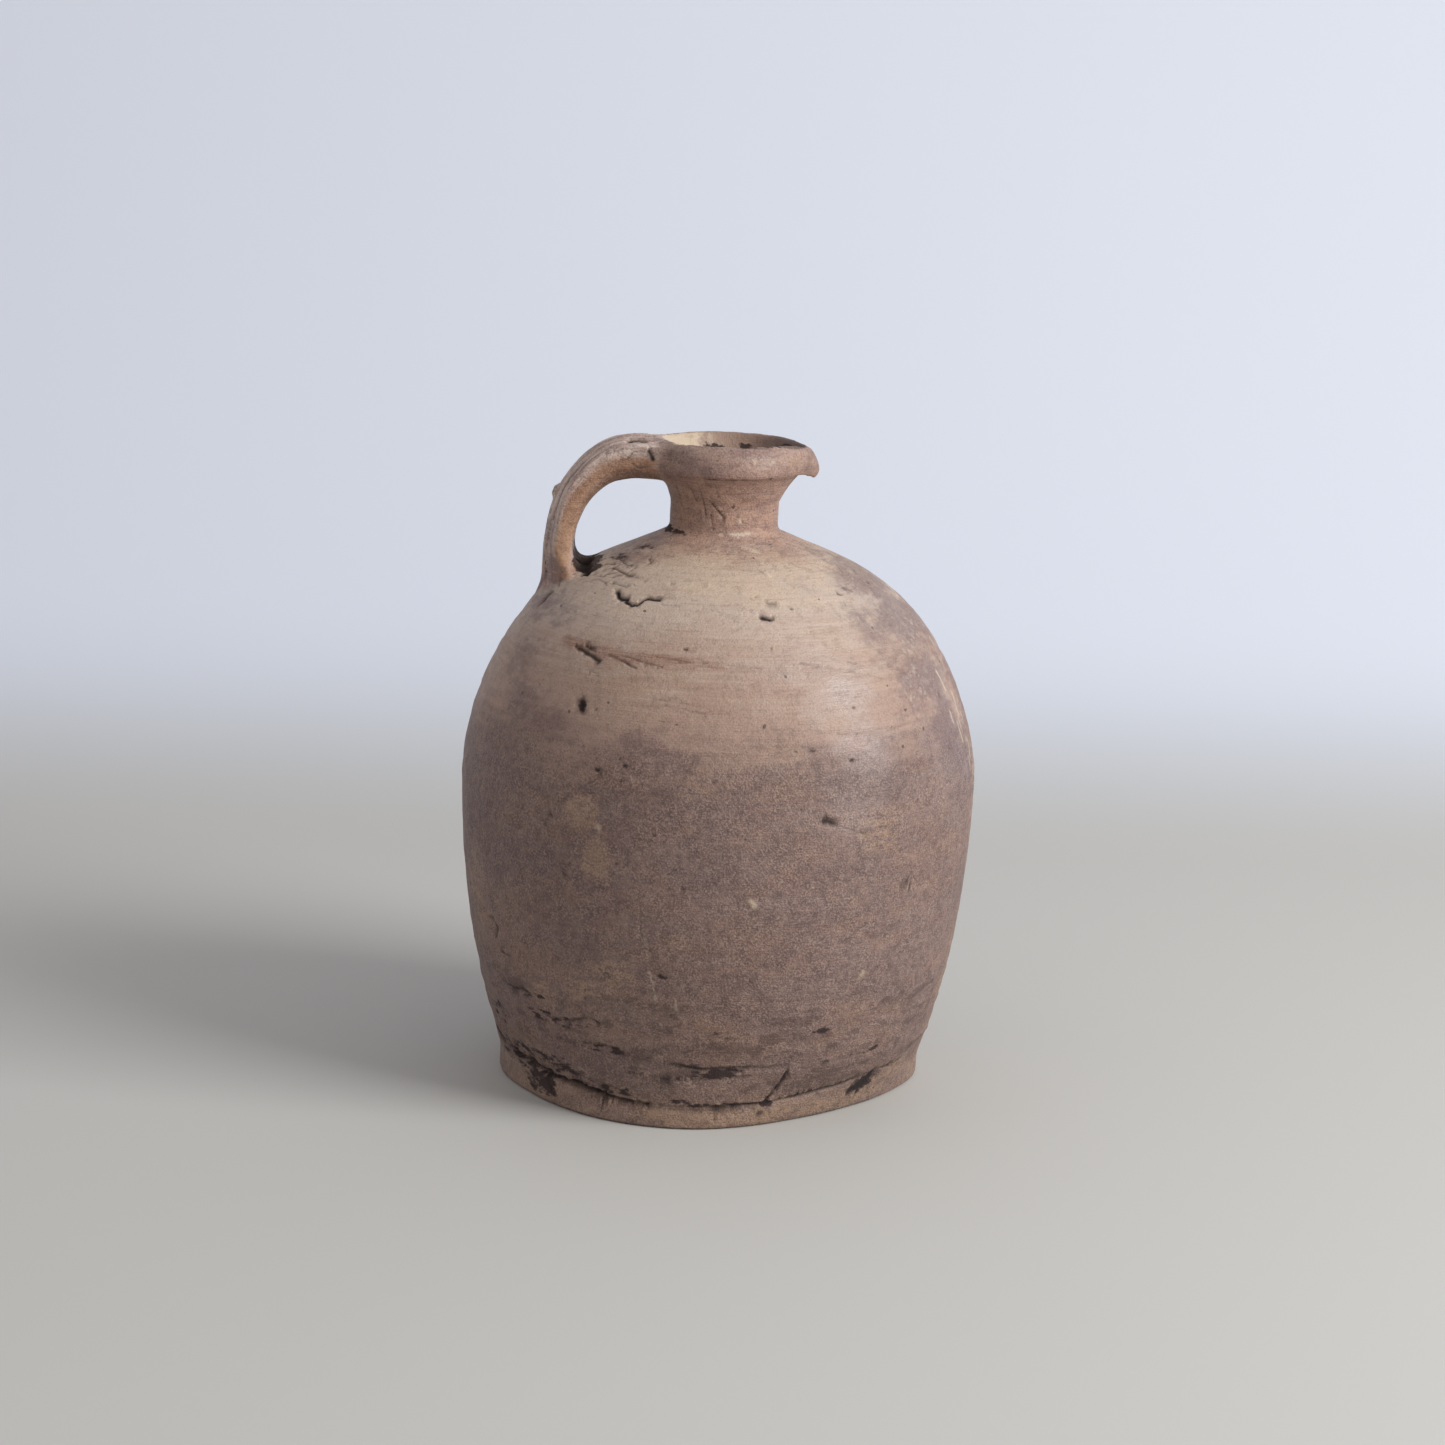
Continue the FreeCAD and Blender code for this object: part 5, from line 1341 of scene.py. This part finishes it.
# pale frost and specks, with painted highlights where the frost layer holds them
body = over(body, times(broken(frost_and_painted_highlights), 0.26, edge_noise), paint(190, 174, 164))
body = over(body, times(pale_specks, frost_and_painted_highlights, 0.75), paint(198, 174, 152))
body = over(body, times(fine_specks, frost_and_painted_highlights, 0.6), paint(212, 198, 186))
body = over(body, times(dark_specks, 0.8), paint(66, 50, 44))
grit = group_use(tree, BLOTCHES, Position=shifted(place, 9, 31, 2), Size=0.75, Detail=2.0,
                 Low=0.32, High=0.68)
coarse = maths(tree, "ADD", maths(tree, "ADD", 0.45, times(above_neck, 0.35)), times(low_body, 0.55))
grit_share = times(coarse, maths(tree, "ADD", 0.35, times(small_noise, 1.1)))
body = over(body, times(contrast(tree, mottle, 0.55, 1.0), coarse, 0.38), paint(78, 59, 56))
body = over(body, times(contrast(tree, mottle, 0.45, 0.0), coarse, 0.15), paint(178, 151, 134))
body = over(body, times(contrast(tree, grit, 0.50, 1.0), grit_share, 0.38), paint(74, 56, 53))
body = over(body, times(contrast(tree, grit, 0.50, 0.0), grit_share, 0.26), paint(190, 166, 152))

# inside the mouth the side towards the lamp is pale and the far side dark: painted light and shade over
# the mouth's own cream and brown
mouth_turn = add(tree, "ShaderNodeSeparateXYZ", {0: place}).outputs["X"]
mouth_sway = times(maths(tree, "SUBTRACT", small_noise, 0.5), 10.0)
MOUTH_LIT_TO_SHADED = [(-30, (206, 188, 164)), (-14, (198, 178, 154)), (-8, (160, 135, 118)),
               (8, (146, 121, 106)), (20, (114, 92, 83)), (31, (96, 77, 70))]
mouth = ramp(maths(tree, "ADD", mouth_turn, mouth_sway), -32.0, 32.0, MOUTH_LIT_TO_SHADED)
mouth = over(mouth, times(broken(layer("frost_and_painted_highlights")), 0.3), paint(214, 200, 182))
body = over(body, layer("inside"), mouth)
soot_and_shade_share = broken(layer("soot_and_painted_shade"), 0.25, 0.70)
body = over(body, times(broken(layer("torn"), 0.3, 0.9), 0.52), paint(76, 56, 51))
# soot, and painted shade behind the strap's root and in the mouth's throat
body = over(body, times(soot_and_shade_share, 0.92), paint(46, 34, 33))
dark = layer("dark")
# dark stains of cracks and gouges; in the recess behind the strap's root and in the groove under the
# collar the dark is painted shade
body = over(body, dark, paint(36, 26, 24))
# pale scratches and chips, with glints as painted highlights
body = over(body, times(layer("pale_marks_and_painted_glints"), 0.9), paint(200, 182, 158))
tree.links.new(body, shader.inputs["Base Color"])

gloss_and_painted_sheen = layer("gloss_and_painted_sheen")
grain = group_use(tree, BLOTCHES, Position=place, Size=1.6, Detail=5.0, Low=0.2, High=0.8)
rough = maths(tree, "SUBTRACT", 0.56, times(gloss_and_painted_sheen, 0.25))
rough = maths(tree, "ADD", rough, times(maths(tree, "SUBTRACT", small_noise, 0.5), 0.14))
rough = maths(tree, "ADD", rough, times(maths(tree, "MAXIMUM", soot_and_shade_share, dark), 0.40), clamp=True)
tree.links.new(rough, shader.inputs["Roughness"])
scratches = group_use(tree, STREAKS, Position=place, Length=16.0, Height=0.55, Low=0.3, High=0.7)
relief = maths(tree, "ADD", maths(tree, "ADD", times(grain, 0.40), times(grit, coarse, -0.35)),
               maths(tree, "ADD", times(scratches, 0.25), times(pale_specks, frost_and_painted_highlights, 0.5)))
bump = add(tree, "ShaderNodeBump", {"Height": relief, "Distance": 0.0005, "Strength": 0.65})
tree.links.new(bump.outputs[0], shader.inputs["Normal"])
print("material:", len(tree.nodes), "nodes")

# %% [markdown]
# ## Stage, light and camera
# A pale sweep runs from the floor up behind the jug without an edge. One large soft light stands
# to the right and in front, as in the photograph, and the room fills the shadows.

# %% Stage
SWEEP_HALF, SWEEP_BACK, SWEEP_BEND, SWEEP_TOP, SWEEP_FRONT = 4.0, 1.6, 0.9, 3.2, -3.0
line = [(SWEEP_FRONT, 0.0)] + [
    (SWEEP_BACK - SWEEP_BEND + SWEEP_BEND * math.sin(a), SWEEP_BEND * (1 - math.cos(a)))
    for a in np.linspace(0, math.pi / 2, 25)] + [(SWEEP_BACK, SWEEP_TOP)]
mesh = bpy.data.meshes.new("sweep")
mesh.from_pydata([(x, y, z) for y, z in line for x in (-SWEEP_HALF, SWEEP_HALF)], [],
                 [(2 * i, 2 * i + 1, 2 * i + 3, 2 * i + 2) for i in range(len(line) - 1)])
mesh.shade_smooth()
sweep = bpy.data.objects.new("sweep", mesh)
bpy.context.scene.collection.objects.link(sweep)
paper = bpy.data.materials.new("paper")
paper.use_nodes = True
along = add(paper.node_tree, "ShaderNodeSeparateXYZ", {
    0: add(paper.node_tree, "ShaderNodeTexCoord").outputs["Object"]}).outputs["Y"]
shade = add(paper.node_tree, "ShaderNodeMix", {
    0: contrast(paper.node_tree, along, 0.35, 0.95), 6: paint(196, 195, 190),
    7: paint(234, 240, 250)}, data_type="RGBA")
paper_shader = paper.node_tree.nodes["Principled BSDF"]
paper.node_tree.links.new(shade.outputs[2], paper_shader.inputs["Base Color"])
paper_shader.inputs["Roughness"].default_value = 0.9
mesh.materials.append(paper)

world = bpy.data.worlds.new("room")
bpy.context.scene.world = world
world.use_nodes = True
ROOM_COLOUR, ROOM_STRENGTH = (0.85, 0.82, 0.83, 1), 0.58
room = world.node_tree.nodes["Background"].inputs
room["Color"].default_value = ROOM_COLOUR
room["Strength"].default_value = ROOM_STRENGTH


def soft_light(name, place, aim, size, energy):
    """Rectangular lamp that stands at a place and looks at a point, in metres and watts."""
    lamp_data = bpy.data.lights.new(name, "AREA")
    lamp_data.shape = "RECTANGLE"
    lamp_data.size, lamp_data.size_y = size
    lamp_data.energy = energy
    lamp = bpy.data.objects.new(name, lamp_data)
    bpy.context.scene.collection.objects.link(lamp)
    lamp.location = place
    lamp.rotation_euler = (Vector(aim) - lamp.location).to_track_quat("-Z", "Y").to_euler()


soft_light("window", place=(1.55, -0.80, 1.05), aim=(0, 0, 0.12), size=(1.0, 1.0), energy=36)
print("stage and light:", sweep.name, world.name, "window")

# %% Camera
PHOTO_PIXELS = 1445
FOCAL_PIXELS = 3500
SENSOR = 36
CAMERA_PLACE = (0.00124, -1.340, 0.4085)
PITCH, ROLL = 11.34, 1.739
pitch, roll = math.radians(PITCH), math.radians(ROLL)
ahead = Vector((0, math.cos(pitch), -math.sin(pitch)))
level_right, level_up = Vector((1, 0, 0)), Vector((0, math.sin(pitch), math.cos(pitch)))
right = level_right * math.cos(roll) + level_up * math.sin(roll)
up = level_up * math.cos(roll) - level_right * math.sin(roll)
camera_data = bpy.data.cameras.new("camera")
camera_data.sensor_width = SENSOR
camera_data.lens = SENSOR * FOCAL_PIXELS / PHOTO_PIXELS
camera = bpy.data.objects.new("camera", camera_data)
camera.matrix_world = Matrix((right, up, -ahead)).transposed().to_4x4()
camera.location = CAMERA_PLACE
bpy.context.scene.collection.objects.link(camera)
bpy.context.scene.camera = camera
bpy.context.scene.view_settings.view_transform = "Standard"
